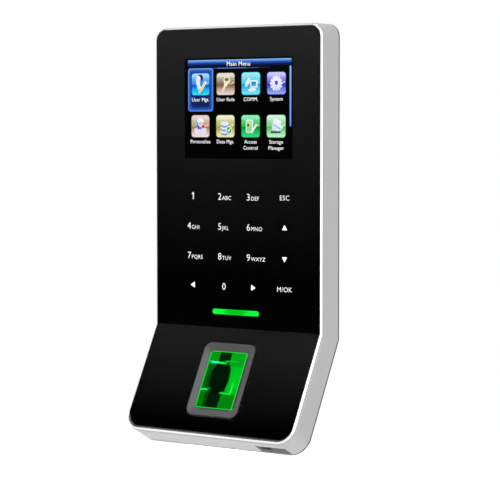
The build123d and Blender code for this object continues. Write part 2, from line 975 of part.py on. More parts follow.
ribbon_level = -(housing_back + scanner_ribbon_set_in)
ribbon_back_y = front_y + board_back + ribbon_thickness / 2
with BuildPart() as scanner_ribbon:
    start = lower_leaf.from_local_coords(
        (0, flange_height / 2 - scanner_below_crease, ribbon_level)
    )
    knee = lower_leaf.from_local_coords((0, -scanner_ribbon_knee, ribbon_level))
    with BuildSketch(Plane.YZ):
        with BuildLine() as scanner_route:
            Polyline(
                (start.Y, start.Z),
                (knee.Y, knee.Z),
                (ribbon_back_y, crease_z + board_low - scanner_ribbon_clear),
                (ribbon_back_y, crease_z + board_low + scanner_ribbon_lap),
            )
        trace(scanner_route.edges(), ribbon_thickness)
    extrude(amount=scanner_ribbon_width / 2, both=True)
keep(scanner_ribbon.part, "scanner_ribbon")

# ---------------------------------------------------------------- main board
with BuildPart() as main_board:
    add(
        slab(
            upper_leaf, board_front_depth, board_back, board_width, board_height,
            (0, board_middle), board_corner,
        )
    )
    add(
        rods(
            upper_leaf, board_front_depth, board_back, board_screw_radius + 2 * screw_clearance,
            post_spots,
        ),
        mode=Mode.SUBTRACT,
    )
keep(main_board.part, "main_board")

with BuildPart() as board_inserts:
    add(
        rods(
            upper_leaf, board_back, board_back + insert_length,
            board_screw_radius + insert_wall, post_spots,
        )
    )
    add(
        rods(
            upper_leaf, board_back, board_back + insert_length,
            board_screw_radius + screw_clearance, post_spots,
        ),
        mode=Mode.SUBTRACT,
    )
keep(board_inserts.part, "board_inserts")

port_board_front = port_front_depth + fit_gap - port_board_thickness
with BuildPart() as board_screws:
    for plane, board_face, tip, spots in (
        (upper_leaf, board_front_depth, board_back + board_screw_reach, post_spots),
        (lower_leaf, port_board_front, port_front_depth + port_screw_reach, [port_post]),
    ):
        add(rods(plane, board_face, tip, board_screw_radius, spots))
        add(rods(plane, board_face - board_head_height, board_face, board_head_radius, spots))
keep(board_screws.part, "board_screws")

can_spot = (0, board_high - can_below_edge)
with BuildPart() as shield_can:
    add(slab(upper_leaf, board_back, board_back + can_size[2], *can_size[:2], can_spot, can_corner))
    can_top = faces().filter_by(Axis.Y).sort_by(Axis.Y)[-1]
    fillet(can_top.edges(), can_rounding)
    add(
        slab(
            upper_leaf, board_back, board_back + can_size[2] - can_wall,
            can_size[0] - 2 * can_wall, can_size[1] - 2 * can_wall, can_spot,
        ),
        mode=Mode.SUBTRACT,
    )
keep(shield_can.part, "shield_can")

with BuildPart() as processor:
    with BuildSketch(upper_leaf.offset(-board_back)):
        with Locations(can_spot):
            Rectangle(processor_size[0], processor_size[1])
    extrude(amount=-processor_size[2])
keep(processor.part, "processor")

with BuildPart() as memory_chips:
    with BuildSketch(upper_leaf.offset(-board_back)):
        with Locations((-memory_offset, can_spot[1]), (memory_offset, can_spot[1])):
            Rectangle(*memory_size)
        with Locations((-flash_offset[0], can_spot[1] - flash_offset[1])):
            Rectangle(*flash_size)
    extrude(amount=-chip_height)
keep(memory_chips.part, "memory_chips")

header_back = board_back + header_height
header_spots = [
    (0.0, wiring_spot[1] + header_row_pitch, long_header),
    (-header_side, wiring_spot[1], short_header),
    (header_side, wiring_spot[1], short_header),
    (0.0, wiring_spot[1] - header_row_pitch, low_header),
]
with BuildPart() as wiring_headers:
    for x, z, length in header_spots:
        add(slab(upper_leaf, board_back, header_back, length, header_width, (x, z), 0.3))
        add(
            slab(
                upper_leaf, board_back + header_floor, header_back,
                length - 2 * header_wall, header_width - 2 * header_wall, (x, z),
            ),
            mode=Mode.SUBTRACT,
        )
keep(wiring_headers.part, "wiring_headers")

with BuildPart() as header_pins:
    for x, z, length in header_spots:
        count = int((length - pin_end_margin) / pin_pitch)
        with BuildSketch(upper_leaf.offset(-(board_back + header_floor))):
            with Locations((x, z)):
                with GridLocations(pin_pitch, pin_pitch, count, 1):
                    Rectangle(pin_size, pin_size)
        extrude(amount=-pin_length)
keep(header_pins.part, "header_pins")

speaker_front = box_floor_front - speaker_height
with BuildPart() as speaker:
    add(rods(upper_leaf, speaker_front, box_floor_front, speaker_radius, [speaker_spot]))
    add(
        rods(
            upper_leaf, box_floor_front - speaker_bowl[1], box_floor_front,
            speaker_bowl[0], [speaker_spot],
        ),
        mode=Mode.SUBTRACT,
    )
    add(
        rods(
            upper_leaf, speaker_front - speaker_magnet[1], speaker_front,
            speaker_magnet[0], [speaker_spot],
        )
    )
keep(speaker.part, "speaker")

coin_spot = (coin_x, coin_rise)
coin_front = board_back + holder_floor
with BuildPart() as coin_cell:
    add(rods(upper_leaf, coin_front, coin_front + coin_thickness, coin_radius, [coin_spot]))
    fillet(edges().filter_by(GeomType.CIRCLE), coin_rounding)
keep(coin_cell.part, "coin_cell")

holder_back = board_back + holder_height
with BuildPart() as coin_cell_holder:
    add(rods(upper_leaf, board_back, holder_back, holder_radius, [coin_spot]))
    add(
        rods(upper_leaf, coin_front, holder_back, coin_radius + holder_gap, [coin_spot]),
        mode=Mode.SUBTRACT,
    )
    add(slab(upper_leaf, coin_front, holder_back, *holder_slot, coin_spot), mode=Mode.SUBTRACT)
keep(coin_cell_holder.part, "coin_cell_holder")

with BuildPart() as radio_antenna:
    with BuildSketch(upper_leaf.offset(-board_back)):
        with Locations((antenna_x, board_high - antenna_below_edge)):
            RectangleRounded(antenna_size[0], antenna_size[1], antenna_corner)
    extrude(amount=-antenna_size[2])
keep(radio_antenna.part, "radio_antenna")

# ---------------------------------------------------------------- tamper and reset switches
plunger_end = total_depth - plunger_short
collar_back = box_floor_front - collar_gap
collar_front = collar_back - collar_thickness
rod_front = collar_front - plunger_nose
nub_back = rod_front - plunger_travel - nub_gap
switch_back = nub_back - nub_height
with BuildPart() as tamper_switch:
    add(
        slab(
            upper_leaf, board_back, switch_back, switch_side, switch_side,
            tamper_spot, switch_corner,
        )
    )
    add(rods(upper_leaf, switch_back, nub_back, nub_radius, [tamper_spot]))
keep(tamper_switch.part, "tamper_switch")

with BuildPart() as tamper_plunger:
    add(rods(upper_leaf, rod_front, plunger_end, plunger_radius, [tamper_spot]))
    add(rods(upper_leaf, collar_front, collar_back, collar_radius, [tamper_spot]))
    tip = edges().filter_by(GeomType.CIRCLE).sort_by(Axis.Y)[-1]
    fillet(tip, plunger_tip_rounding)
keep(tamper_plunger.part, "tamper_plunger")

spring_length = collar_front - switch_back - 2 * spring_wire
spring_radius = collar_radius - spring_wire
spring_low = upper_leaf.from_local_coords((*tamper_spot, -(switch_back + spring_wire)))
with BuildPart() as tamper_spring:
    with BuildLine() as coil:
        Helix(
            pitch=spring_length / spring_turns,
            height=spring_length,
            radius=spring_radius,
            center=spring_low,
            direction=(0, 1, 0),
        )
    with BuildSketch(Plane(origin=coil.line @ 0, z_dir=coil.line % 0)):
        Circle(spring_wire)
    sweep(path=coil.line, is_frenet=True)
keep(tamper_spring.part, "tamper_spring")

reset_back = board_back + reset_height
well_front = reset_back - reset_well
with BuildPart() as reset_switch:
    add(
        slab(
            upper_leaf, board_back, reset_back, reset_side, reset_side,
            reset_spot, reset_corner,
        )
    )
    add(
        rods(upper_leaf, well_front, reset_back, reset_radius + moving_gap, [reset_spot]),
        mode=Mode.SUBTRACT,
    )
keep(reset_switch.part, "reset_switch")

with BuildPart() as reset_button:
    with BuildSketch(upper_leaf.offset(-(well_front + reset_travel + reset_stop))):
        with Locations(reset_spot):
            Circle(reset_radius)
    extrude(amount=-(reset_button_back - reset_travel - reset_stop))
keep(reset_button.part, "reset_button")

# ---------------------------------------------------------------- data port
port_shell_front = port_front_depth + fit_gap
port_shell_back = port_shell_front + port_shell_height
port_mouth = lower_length - port_recess
port_middle = port_shell_length / 2 - port_mouth
with BuildPart() as port_shell:
    add(
        slab(
            lower_leaf, port_shell_front, port_shell_back, port_shell_width, port_shell_length,
            (port_centre_x, port_middle),
        )
    )
    add(
        slab(
            lower_leaf, port_shell_front + port_shell_wall, port_shell_back - port_shell_wall,
            port_shell_width - 2 * port_shell_wall, port_shell_length,
            (port_centre_x, port_middle - port_shell_wall),
        ),
        mode=Mode.SUBTRACT,
    )
keep(port_shell.part, "port_shell")

port_inner_end = port_mouth - port_shell_length + port_shell_wall
tongue_front = port_shell_front + port_shell_wall + tongue_set_in
with BuildPart() as port_tongue:
    # insulating block at the closed end, and the tongue that carries the contacts
    add(
        slab(
            lower_leaf, port_shell_front + port_shell_wall, port_shell_back - port_shell_wall,
            port_shell_width - 2 * port_shell_wall, tongue_block,
            (port_centre_x, -port_inner_end - tongue_block / 2),
        )
    )
    add(
        slab(
            lower_leaf, tongue_front, tongue_front + tongue_thickness, tongue_width,
            tongue_length, (port_centre_x, -port_inner_end - tongue_length / 2),
        )
    )
keep(port_tongue.part, "port_tongue")

contact_middle = port_inner_end + contact_inset + contact_size[1] / 2
with BuildPart() as port_contacts:
    with BuildSketch(lower_leaf.offset(-(tongue_front + tongue_thickness))):
        with Locations((port_centre_x, -contact_middle)):
            with GridLocations(contact_pitch, 1, 4, 1):
                Rectangle(contact_size[0], contact_size[1])
    extrude(amount=-contact_size[2])
keep(port_contacts.part, "port_contacts")

with BuildPart() as port_board:
    add(
        slab(
            lower_leaf, port_board_front, port_shell_front, *port_board_size,
            (port_centre_x, port_board_size[1] / 2 - port_mouth + port_board_low), 0.5,
        )
    )
    add(
        rods(
            lower_leaf, port_board_front, port_shell_front, board_screw_radius + screw_clearance,
            [port_post],
        ),
        mode=Mode.SUBTRACT,
    )
keep(port_board.part, "port_board")

# ---------------------------------------------------------------- wall plate
neck_top = plate_low + neck_lap
with BuildPart() as wall_plate:
    add(
        slab(
            upper_leaf, plate_front, total_depth, plate_width, plate_height,
            (0, plate_above_crease), plate_corner,
        )
    )
    # neck and forward tab under the rear box
    add(
        slab(
            upper_leaf, plate_front, total_depth, tab_width,
            neck_top - tab_top + plate_thickness,
            (0, (neck_top + tab_top - plate_thickness) / 2),
        )
    )
    add(
        slab(
            upper_leaf, total_depth - tab_length, total_depth, tab_width, plate_thickness,
            (0, tab_top - plate_thickness / 2),
        )
    )
    # four hooks, each a neck and an upturned end
    for base in hook_levels:
        for x in (-hook_x, hook_x):
            add(
                slab(
                    upper_leaf, total_depth - hook_set_off, total_depth, hook_width,
                    plate_thickness, (x, base + plate_thickness / 2),
                )
            )
            add(
                slab(
                    upper_leaf, total_depth - hook_set_off,
                    total_depth - hook_set_off + plate_thickness, hook_width, hook_rise,
                    (x, base + hook_rise / 2),
                )
            )
    with BuildSketch(upper_leaf.offset(-plate_front)):
        with Locations((0, plate_above_crease)):
            with GridLocations(screw_spacing_x, screw_spacing_z, 2, 2):
                Circle(wall_hole_radius)
        with Locations((0, (cable_hole_low + cable_hole_top) / 2)):
            RectangleRounded(
                plate_width - 2 * cable_hole_side_margin,
                cable_hole_top - cable_hole_low,
                cable_hole_corner,
            )
    extrude(amount=-plate_thickness, mode=Mode.SUBTRACT)
    with BuildSketch(Plane.XY.offset(crease_z + tab_top - plate_thickness)):
        with Locations((0, front_y + security_depth)):
            Circle(security_screw_radius + 2 * screw_clearance)
    extrude(amount=plate_thickness, mode=Mode.SUBTRACT)
keep(wall_plate.part, "wall_plate")

tab_underside = Plane.XY.offset(crease_z + tab_top - plate_thickness)
security_spot = (0, front_y + security_depth)
with BuildPart() as security_screw:
    with BuildSketch(tab_underside):
        with Locations(security_spot):
            Circle(security_screw_radius)
    extrude(amount=plate_thickness + tab_gap + security_insert_length - security_tip_gap)
    with BuildSketch(tab_underside):
        with Locations(security_spot):
            Circle(security_head_radius)
    extrude(amount=-security_head_height)
    head_rim = faces().filter_by(Axis.Z).sort_by(Axis.Z)[0].edges()
    fillet(head_rim, security_head_rounding)
    with BuildSketch(tab_underside.offset(-security_head_height)):
        with Locations(security_spot):
            RegularPolygon(security_key_radius, 6)
    extrude(amount=security_key_depth, mode=Mode.SUBTRACT)
keep(security_screw.part, "security_screw")

with BuildPart() as security_insert:
    with BuildSketch(Plane.XY.offset(crease_z + box_low)):
        with Locations((0, front_y + security_depth)):
            Circle(security_screw_radius + insert_wall)
            Circle(security_screw_radius + screw_clearance, mode=Mode.SUBTRACT)
    extrude(amount=security_insert_length)
keep(security_insert.part, "security_insert")
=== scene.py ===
import json
from math import atan2, cos, pi, radians, sin, sqrt, tan

import bmesh
import bpy
from mathutils import Matrix, Vector


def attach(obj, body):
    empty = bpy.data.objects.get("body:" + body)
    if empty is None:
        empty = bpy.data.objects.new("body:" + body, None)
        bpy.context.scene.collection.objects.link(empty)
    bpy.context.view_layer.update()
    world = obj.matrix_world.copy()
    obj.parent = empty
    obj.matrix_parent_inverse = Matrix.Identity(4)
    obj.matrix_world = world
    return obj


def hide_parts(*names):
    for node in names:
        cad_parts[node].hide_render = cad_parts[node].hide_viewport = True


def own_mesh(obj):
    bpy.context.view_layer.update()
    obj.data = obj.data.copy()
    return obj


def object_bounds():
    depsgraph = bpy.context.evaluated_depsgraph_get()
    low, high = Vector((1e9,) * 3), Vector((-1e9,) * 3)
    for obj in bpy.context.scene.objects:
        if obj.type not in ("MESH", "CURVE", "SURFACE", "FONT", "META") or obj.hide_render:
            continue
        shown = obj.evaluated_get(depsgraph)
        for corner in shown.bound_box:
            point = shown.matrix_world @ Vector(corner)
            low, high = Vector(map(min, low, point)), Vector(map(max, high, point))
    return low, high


bl_info = {
    "name": "Fingerprint scanner terminal",
    "version": (1, 0, 0),
    "blender": (4, 5, 0),
    "location": "3D View > Sidebar > Terminal",
    "description": "Builds the looks of a wall-hung fingerprint scanner terminal round its CAD frame",
    "category": "Object",
}

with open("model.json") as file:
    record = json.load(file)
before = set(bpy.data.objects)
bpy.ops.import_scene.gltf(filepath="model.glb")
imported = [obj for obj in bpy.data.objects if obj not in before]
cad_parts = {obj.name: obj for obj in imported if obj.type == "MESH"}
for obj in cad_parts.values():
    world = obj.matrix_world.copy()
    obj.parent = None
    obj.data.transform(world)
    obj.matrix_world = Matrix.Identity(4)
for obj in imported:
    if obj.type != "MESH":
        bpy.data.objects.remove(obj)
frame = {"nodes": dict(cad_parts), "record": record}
CAD_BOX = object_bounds()
MM = 0.001
SLACK = 1e-7  # within which two places count as one


# ------------------------------------------------------------------ the two leaves
def leaf_frames(node):
    """Places of both leaves, with x to the right, y up the slope and z outwards from the crease, and the lean."""
    mesh = frame["nodes"][node].data
    upper = [face for face in mesh.polygons if face.normal.y < -0.999]
    lower = [face for face in mesh.polygons if -0.95 < face.normal.y < -0.8 and face.normal.z > 0.3]
    upper_face = max(upper, key=lambda face: face.area)
    lower_face = max(lower, key=lambda face: face.area)
    front = upper_face.center.y
    normal, middle = lower_face.normal, lower_face.center
    crease = middle.z - normal.y * (front - middle.y) / normal.z
    lean = atan2(normal.z, -normal.y)
    place = Matrix.Translation((0, front, crease))
    return place @ Matrix.Rotation(pi / 2, 4, "X"), place @ Matrix.Rotation(pi / 2 - lean, 4, "X"), lean


UPPER, LOWER, LEAN = leaf_frames("front_glass")


def extent(node, leaf):
    """Lowest and highest corner of a CAD node in a leaf's own directions."""
    inverse = leaf.inverted()
    points = [inverse @ vertex.co for vertex in frame["nodes"][node].data.vertices]
    low = Vector(min(point[i] for point in points) for i in range(3))
    high = Vector(max(point[i] for point in points) for i in range(3))
    return low, high


GLASS_LOW, GLASS_HIGH = extent("front_glass", UPPER)
GLASS_FOOT = extent("front_glass", LOWER)[0].y
GLASS_BACK = extent("status_light_guide", UPPER)[1].z
LIGHT_LOW, LIGHT_HIGH = extent("status_light_guide", UPPER)
KEYS_LOW, KEYS_HIGH = extent("key_lights", UPPER)
WELL_LOW, WELL_HIGH = extent("scanner_prism", LOWER)
BEZEL_LOW, BEZEL_HIGH = extent("scanner_bezel", LOWER)


# ------------------------------------------------------------------ settings
def size(name, description, default, **more):
    return bpy.props.FloatProperty(
        name=name, description=description, default=default, unit="LENGTH", precision=5, **more
    )


def colour(name, description, default):
    return bpy.props.FloatVectorProperty(
        name=name, description=description, default=default, subtype="COLOR", size=3, min=0, max=1
    )


def amount(name, description, default):
    return bpy.props.FloatProperty(name=name, description=description, default=default, min=0)


class TerminalPanelSettings(bpy.types.PropertyGroup):
    """Clear front panel and the black print behind it"""

    edge_rounding: size("Edge rounding", "Rounding of the panel's edges", 0.25 * MM)
    top_corner: size("Top corner", "Radius of the two top corners", 4.1 * MM)
    low_corner: size("Low corner", "Radius of the two bottom corners", 5.5 * MM)
    print_depth: size("Print depth", "Front of the black print behind the panel's face", 1.77 * MM)
    print_colour: colour("Print", "Black print behind the panel", (0.0008, 0.0008, 0.0009))
    # The dark grey the print turns at the top of each leaf is painted sheen, for the light that falls there.
    print_painted_sheen: colour("Print haze", "Dark grey that the print fades to", (0.036, 0.036, 0.037))


class TerminalScreenSettings(bpy.types.PropertyGroup):
    """Lit picture of the display"""

    width: size("Width", "Lit width of the display", 49.0 * MM)
    height: size("Height", "Lit height of the display", 37.0 * MM)
    window_width: size("Window width", "Width of the clear window in the print", 50.4 * MM)
    window_height: size("Window height", "Height of the clear window in the print", 38.4 * MM)
    drop: size("Centre drop", "Centre of the picture below the panel's top edge", 30.4 * MM)
    icon: size("Icon", "Side of one menu icon", 8.7 * MM)
    strength: amount("Glow", "Strength of the picture's light", 1.0)


class TerminalKeySettings(bpy.types.PropertyGroup):
    """Lit legends of the touch keys"""

    digit: size("Digit height", "Height of the digits", 2.7 * MM)
    letter: size("Letter height", "Height of the small letters", 1.6 * MM)
    word: size("Word height", "Height of the word legends", 1.95 * MM)
    arrow: size("Arrow", "Width of the arrows", 2.4 * MM)
    glow: colour("Legend light", "Colour of the lit legends", (0.92, 0.94, 0.97))
    strength: amount("Glow", "Strength of the legends' light", 1.35)


class TerminalLightSettings(bpy.types.PropertyGroup):
    """Status light"""

    width: size("Width", "Length of the light bar", 21.8 * MM)
    height: size("Height", "Height of the light bar", 2.0 * MM)
    shift: size("Shift", "Middle of the light bar to the left of the guide's", 1.0 * MM)
    glow: colour("Status light", "Colour of the light over its two lamps", (0.004, 1.0, 0.05))
    middle: colour("Middle", "Colour of the light between its two lamps", (0.0, 0.54, 0.004))
    strength: amount("Glow", "Strength of the status light", 1.0)


class TerminalScannerSettings(bpy.types.PropertyGroup):
    """Finger window and its frame"""

    lip: size("Lip", "Flat rim of the frame", 0.35 * MM)
    slope: size("Slope", "Depth of the frame's sloping sides", 0.85 * MM)
    rounding: size("Rounding", "Rounding of the frame's edges", 0.08 * MM)
    corner: size("Corner", "Corner radius of the frame", 3.0 * MM)
    pane_corner: size("Window corner", "Corner radius of the window", 1.9 * MM)
    frame_colour: colour("Frame", "Dark grey moulding of the frame", (0.085, 0.085, 0.0865))
    glow: colour("Window light", "Green light in the window", (0.0, 0.40, 0.012))
    strength: amount("Glow", "Strength of the window's light", 1.0)


class TerminalBodySettings(bpy.types.PropertyGroup):
    """Silver band, rear cover and wall plate"""

    silver: colour("Silver", "Paint of the band", (0.585, 0.585, 0.585))
    rim: colour("Rim", "Polished front rim of the band", (0.93, 0.93, 0.94))
    moulding: colour("Moulding", "Black moulding of the rear cover", (0.028, 0.028, 0.03))
    zinc: colour("Zinc", "Galvanised wall plate", (0.58, 0.60, 0.62))
    shell_rounding: size("Shell rounding", "Softening of the band's edges", 0.12 * MM)
    # The band's back edge gets a black strip of this width.
    back_strip_width: size("Joint width", "Dark joint between the band and the rear cover", 0.7 * MM)
    cover_rounding: size("Cover rounding", "Softening of the rear cover's edges", 0.3 * MM)
    plate_rounding: size("Plate rounding", "Softening of the wall plate's edges", 0.2 * MM)


class TerminalStageSettings(bpy.types.PropertyGroup):
    """Camera, light and floor"""

    camera_place: bpy.props.FloatVectorProperty(
        name="Camera", description="Place of the camera", default=(0.45037, -0.64725, 0.0196),
        subtype="XYZ", unit="LENGTH", size=3,
    )
    camera_yaw: bpy.props.FloatProperty(
        name="Yaw", description="Turn of the camera to its left", default=radians(35.26),
        subtype="ANGLE",
    )
    camera_pitch: bpy.props.FloatProperty(
        name="Pitch", description="Tilt of the camera", default=radians(-3.44), subtype="ANGLE"
    )
    lens: bpy.props.FloatProperty(
        name="Lens", description="Focal length of the camera in millimetres", default=146.2, min=1
    )
    floor_drop: size("Floor drop", "Floor below the terminal", 0.30)
    floor_radius: size("Floor radius", "Radius of the round floor", 1.9)


SETTINGS = {
    "terminal_panel": TerminalPanelSettings,
    "terminal_screen": TerminalScreenSettings,
    "terminal_keys": TerminalKeySettings,
    "terminal_light": TerminalLightSettings,
    "terminal_scanner": TerminalScannerSettings,
    "terminal_body": TerminalBodySettings,
    "terminal_stage": TerminalStageSettings,
}


# ------------------------------------------------------------------ modelling helpers
def only(*objects):
    """Select these objects and nothing else; the first one is active."""
    if bpy.context.object and bpy.context.object.mode != "OBJECT":
        bpy.ops.object.mode_set(mode="OBJECT")
    bpy.ops.object.select_all(action="DESELECT")
    for item in objects:
        item.select_set(True)
    bpy.context.view_layer.objects.active = objects[0]


def edit(piece, kind="FACE"):
    """Open a piece in edit mode with all of it selected."""
    only(piece)
    bpy.ops.object.mode_set(mode="EDIT")
    bpy.ops.mesh.select_mode(type=kind)
    bpy.ops.mesh.select_all(action="SELECT")


def done():
    bpy.ops.object.mode_set(mode="OBJECT")


def pick(piece, kind, wanted):
    """In edit mode, select only the faces, edges or vertices that are wanted."""
    bpy.ops.mesh.select_mode(type=kind)
    bpy.ops.mesh.select_all(action="DESELECT")
    mesh = bmesh.from_edit_mesh(piece.data)
    items = {"FACE": mesh.faces, "EDGE": mesh.edges, "VERT": mesh.verts}[kind]
    chosen = [item for item in items if wanted(item)]
    for item in chosen:
        item.select_set(True)
    bmesh.update_edit_mesh(piece.data)
    if not chosen:
        raise RuntimeError(f"{piece.name}: nothing to select")


def move(x=0.0, y=0.0, z=0.0):
    bpy.ops.transform.translate(value=(x, y, z))


def stretch(x, y, z, centre=(0, 0, 0)):
    """Scale what is selected about a point."""
    bpy.ops.transform.resize(value=(x, y, z), center_override=centre)


def shift(piece, x=0.0, y=0.0, z=0.0):
    """Move a whole piece's mesh."""
    edit(piece, "VERT")
    move(x, y, z)
    done()


def face_out():
    """In edit mode, turn every face outwards."""
    bpy.ops.mesh.select_all(action="SELECT")
    bpy.ops.mesh.normals_make_consistent(inside=False)


def named(name):
    """Name the object just made, and its mesh."""
    piece = bpy.context.object
    piece.name = piece.data.name = name
    return piece


def spin(turn):
    """Turn what is selected about the origin, in degrees, seen from its front."""
    bpy.ops.transform.rotate(value=-radians(turn), orient_axis="Z", center_override=(0, 0, 0))


def extrude(x=0.0, y=0.0, z=0.0):
    bpy.ops.mesh.extrude_region_move(TRANSFORM_OT_translate={"value": (x, y, z)})


def modify(piece, kind, **values):
    """Add a modifier with these values and apply it."""
    only(piece)
    modifier = piece.modifiers.new(kind.title(), kind)
    for name, value in values.items():
        setattr(modifier, name, value)
    bpy.ops.object.modifier_apply(modifier=modifier.name)


def smooth(piece, angle=35.0, weighted=False):
    """Smooth shading, with the edges sharper than the angle kept."""
    only(piece)
    bpy.ops.object.shade_smooth_by_angle(angle=radians(angle))
    if weighted:
        modify(piece, "WEIGHTED_NORMAL", keep_sharp=True, weight=80)


def round_edges(piece, width, segments=3, angle=40.0):
    modify(
        piece, "BEVEL", width=width, segments=segments, limit_method="ANGLE",
        angle_limit=radians(angle), use_clamp_overlap=True,
    )


def seat(piece, leaf):
    """Put a piece that was made flat at the origin on its leaf, with its place in its mesh."""
    only(piece)
    piece.matrix_world = leaf
    bpy.ops.object.transform_apply(location=True, rotation=True, scale=True)


def outline(name, width, height, corners, centre=(0, 0), z=0.0, segments=8):
    """A flat rounded rectangle; corners is one radius, or (top radius, bottom radius)."""
    bpy.ops.mesh.primitive_plane_add(size=1, location=(0, 0, 0))
    piece = named(name)
    edit(piece, "VERT")
    stretch(width, height, 1)
    move(centre[0], centre[1], z)
    top, low = corners if isinstance(corners, tuple) else (corners, corners)
    for radius, upper in ((top, True), (low, False)):
        if radius:
            pick(
                piece, "VERT",
                lambda v: (v.co.y > centre[1]) == upper
                and abs(abs(v.co.x - centre[0]) - width / 2) < SLACK
                and abs(abs(v.co.y - centre[1]) - height / 2) < SLACK,
            )
            bpy.ops.mesh.bevel(offset=radius, segments=segments, affect="VERTICES", clamp_overlap=False)
    done()
    return piece


def block(name, width, height, thick, corners, centre=(0, 0), z=0.0, segments=8):
    """A rounded plate whose front is at z and whose back is thick behind it."""
    piece = outline(name, width, height, corners, centre, z, segments)
    edit(piece)
    extrude(z=-thick)
    face_out()
    done()
    return piece


def join(name, pieces):
    """Join pieces into one with its own mesh."""
    only(*pieces)
    if len(pieces) > 1:
        bpy.ops.object.join()
    return named(name)


def settle(piece, body, slot, materials, *nodes):
    """Give a finished piece its materials and its body, and hide the nodes it stands for. The slot is not used.
    """
    for material in materials if isinstance(materials, (list, tuple)) else [materials]:
        piece.data.materials.append(material)
    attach(piece, body)
    if nodes:
        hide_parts(*nodes)
    return piece


MERGE_DISTANCE = 0.002 * MM
FLAT_ANGLE = radians(0.6)


def softened(node, name, rounding, segments=2, angle=32.0):
    """A merged copy of a CAD node with its edges softened, for moulded and folded parts."""
    piece = bpy.data.objects.new(name, frame["nodes"][node].data.copy())
    piece.data.name = name
    piece.data.materials.clear()
    bpy.context.scene.collection.objects.link(piece)
    edit(piece, "VERT")
    bpy.ops.mesh.remove_doubles(threshold=MERGE_DISTANCE)
    bpy.ops.mesh.dissolve_limited(angle_limit=FLAT_ANGLE)
    done()
    if rounding:
        round_edges(piece, rounding, segments, angle)
    smooth(piece, 50.0, weighted=True)
    return piece


# ------------------------------------------------------------------ materials
def put(tree, kind, values=None, **settings):
    """Add a shader node; values are sockets by name or number, linked or plain."""
    node = tree.nodes.new("ShaderNode" + kind)
    for name, value in settings.items():
        setattr(node, name, value)
    feed(tree, node, values or {})
    return node


def feed(tree, node, values):
    """Link or set a node's inputs."""
    for key, value in values.items():
        if isinstance(value, bpy.types.NodeSocket):
            tree.links.new(value, node.inputs[key])
        else:
            node.inputs[key].default_value = value


def blend_colours(tree, factor, first, second, how="MIX"):
    node = put(tree, "Mix", {0: factor, 6: first, 7: second}, data_type="RGBA", blend_type=how)
    return node.outputs[2]


def sum_up(tree, how, first, second, third=None):
    values = {0: first, 1: second}
    if third is not None:
        values[2] = third
    return put(tree, "Math", values, operation=how).outputs[0]


def span(tree, value, low, high, out_low=0.0, out_high=1.0, kind="SMOOTHSTEP"):
    """Map a value from one span to another."""
    limits = {0: value, 1: low, 2: high, 3: out_low, 4: out_high}
    return put(tree, "MapRange", limits, interpolation_type=kind).outputs[0]


def noise(tree, place, scale, detail, output=0, **more):
    values = {"Vector": place, "Scale": scale, "Detail": detail, **more}
    return put(tree, "TexNoise", values).outputs[output]


def swing(tree, pattern, amount, base):
    """A value that goes above and below its base as a pattern goes above and below its middle."""
    return sum_up(tree, "MULTIPLY_ADD", sum_up(tree, "SUBTRACT", pattern, 0.5), amount, base)


def shaded(tree, colour, shade):
    """A colour made lighter or darker by one value."""
    grey = put(tree, "CombineColor", {0: shade, 1: shade, 2: shade}).outputs[0]
    return blend_colours(tree, 1.0, colour, grey, "MULTIPLY")


def shared(name, inputs, outputs):
    """An empty shader node group with its named sockets, and its two ends."""
    tree = bpy.data.node_groups.new(name, "ShaderNodeTree")
    kinds = {"c": "NodeSocketColor", "v": "NodeSocketVector", "f": "NodeSocketFloat"}
    for key, kind in inputs:
        tree.interface.new_socket(key, in_out="INPUT", socket_type=kinds[kind])
    for key, kind in outputs:
        tree.interface.new_socket(key, in_out="OUTPUT", socket_type=kinds[kind])
    return tree, tree.nodes.new("NodeGroupInput").outputs, tree.nodes.new("NodeGroupOutput")


def finish_group(tree, end, **results):
    for key, socket in results.items():
        tree.links.new(socket, end.inputs[key.replace("_", " ")])
    return tree


FINISH_INPUTS = (("Vector", "v"), ("Color", "c"), ("Roughness", "f"))
FINISH_OUTPUTS = (("Color", "c"), ("Roughness", "f"), ("Height", "f"))


def grain_group():
    """Fine even grain of moulded, painted and cast surfaces."""
    tree, given, end = shared(
        "surface_grain",
        (*FINISH_INPUTS, ("Scale", "f"), ("Tint", "f"), ("Patchiness", "f")),
        FINISH_OUTPUTS,
    )
    fine = noise(tree, given[0], given[3], 3.0)
    cells = put(tree, "TexVoronoi", {"Vector": given[0], "Scale": given[3]}).outputs[0]
    broad = noise(tree, given[0], 55.0, 4.0, Roughness=0.6)
    shade = swing(tree, fine, given[4], 1.0)
    tinted = shaded(tree, given[1], shade)
    rough = swing(tree, broad, given[5], given[2])
    height = sum_up(tree, "MULTIPLY_ADD", cells, 0.5, fine)
    return finish_group(tree, end, Color=tinted, Roughness=rough, Height=height)


def brushed_group():
    """Long fine lines of drawn, rolled or brushed metal."""
    tree, given, end = shared(
        "brushed_lines",
        (*FINISH_INPUTS, ("Scale", "f"), ("Stretch", "v"), ("Tint", "f")),
        FINISH_OUTPUTS,
    )
    drawn = put(tree, "VectorMath", {0: given[0], 1: given[4]}, operation="MULTIPLY").outputs[0]
    lines = noise(tree, drawn, given[3], 4.0, Roughness=0.65)
    shade = swing(tree, lines, given[5], 1.0)
    tinted = shaded(tree, given[1], shade)
    rough = swing(tree, lines, 0.25, given[2])
    return finish_group(tree, end, Color=tinted, Roughness=rough, Height=lines)


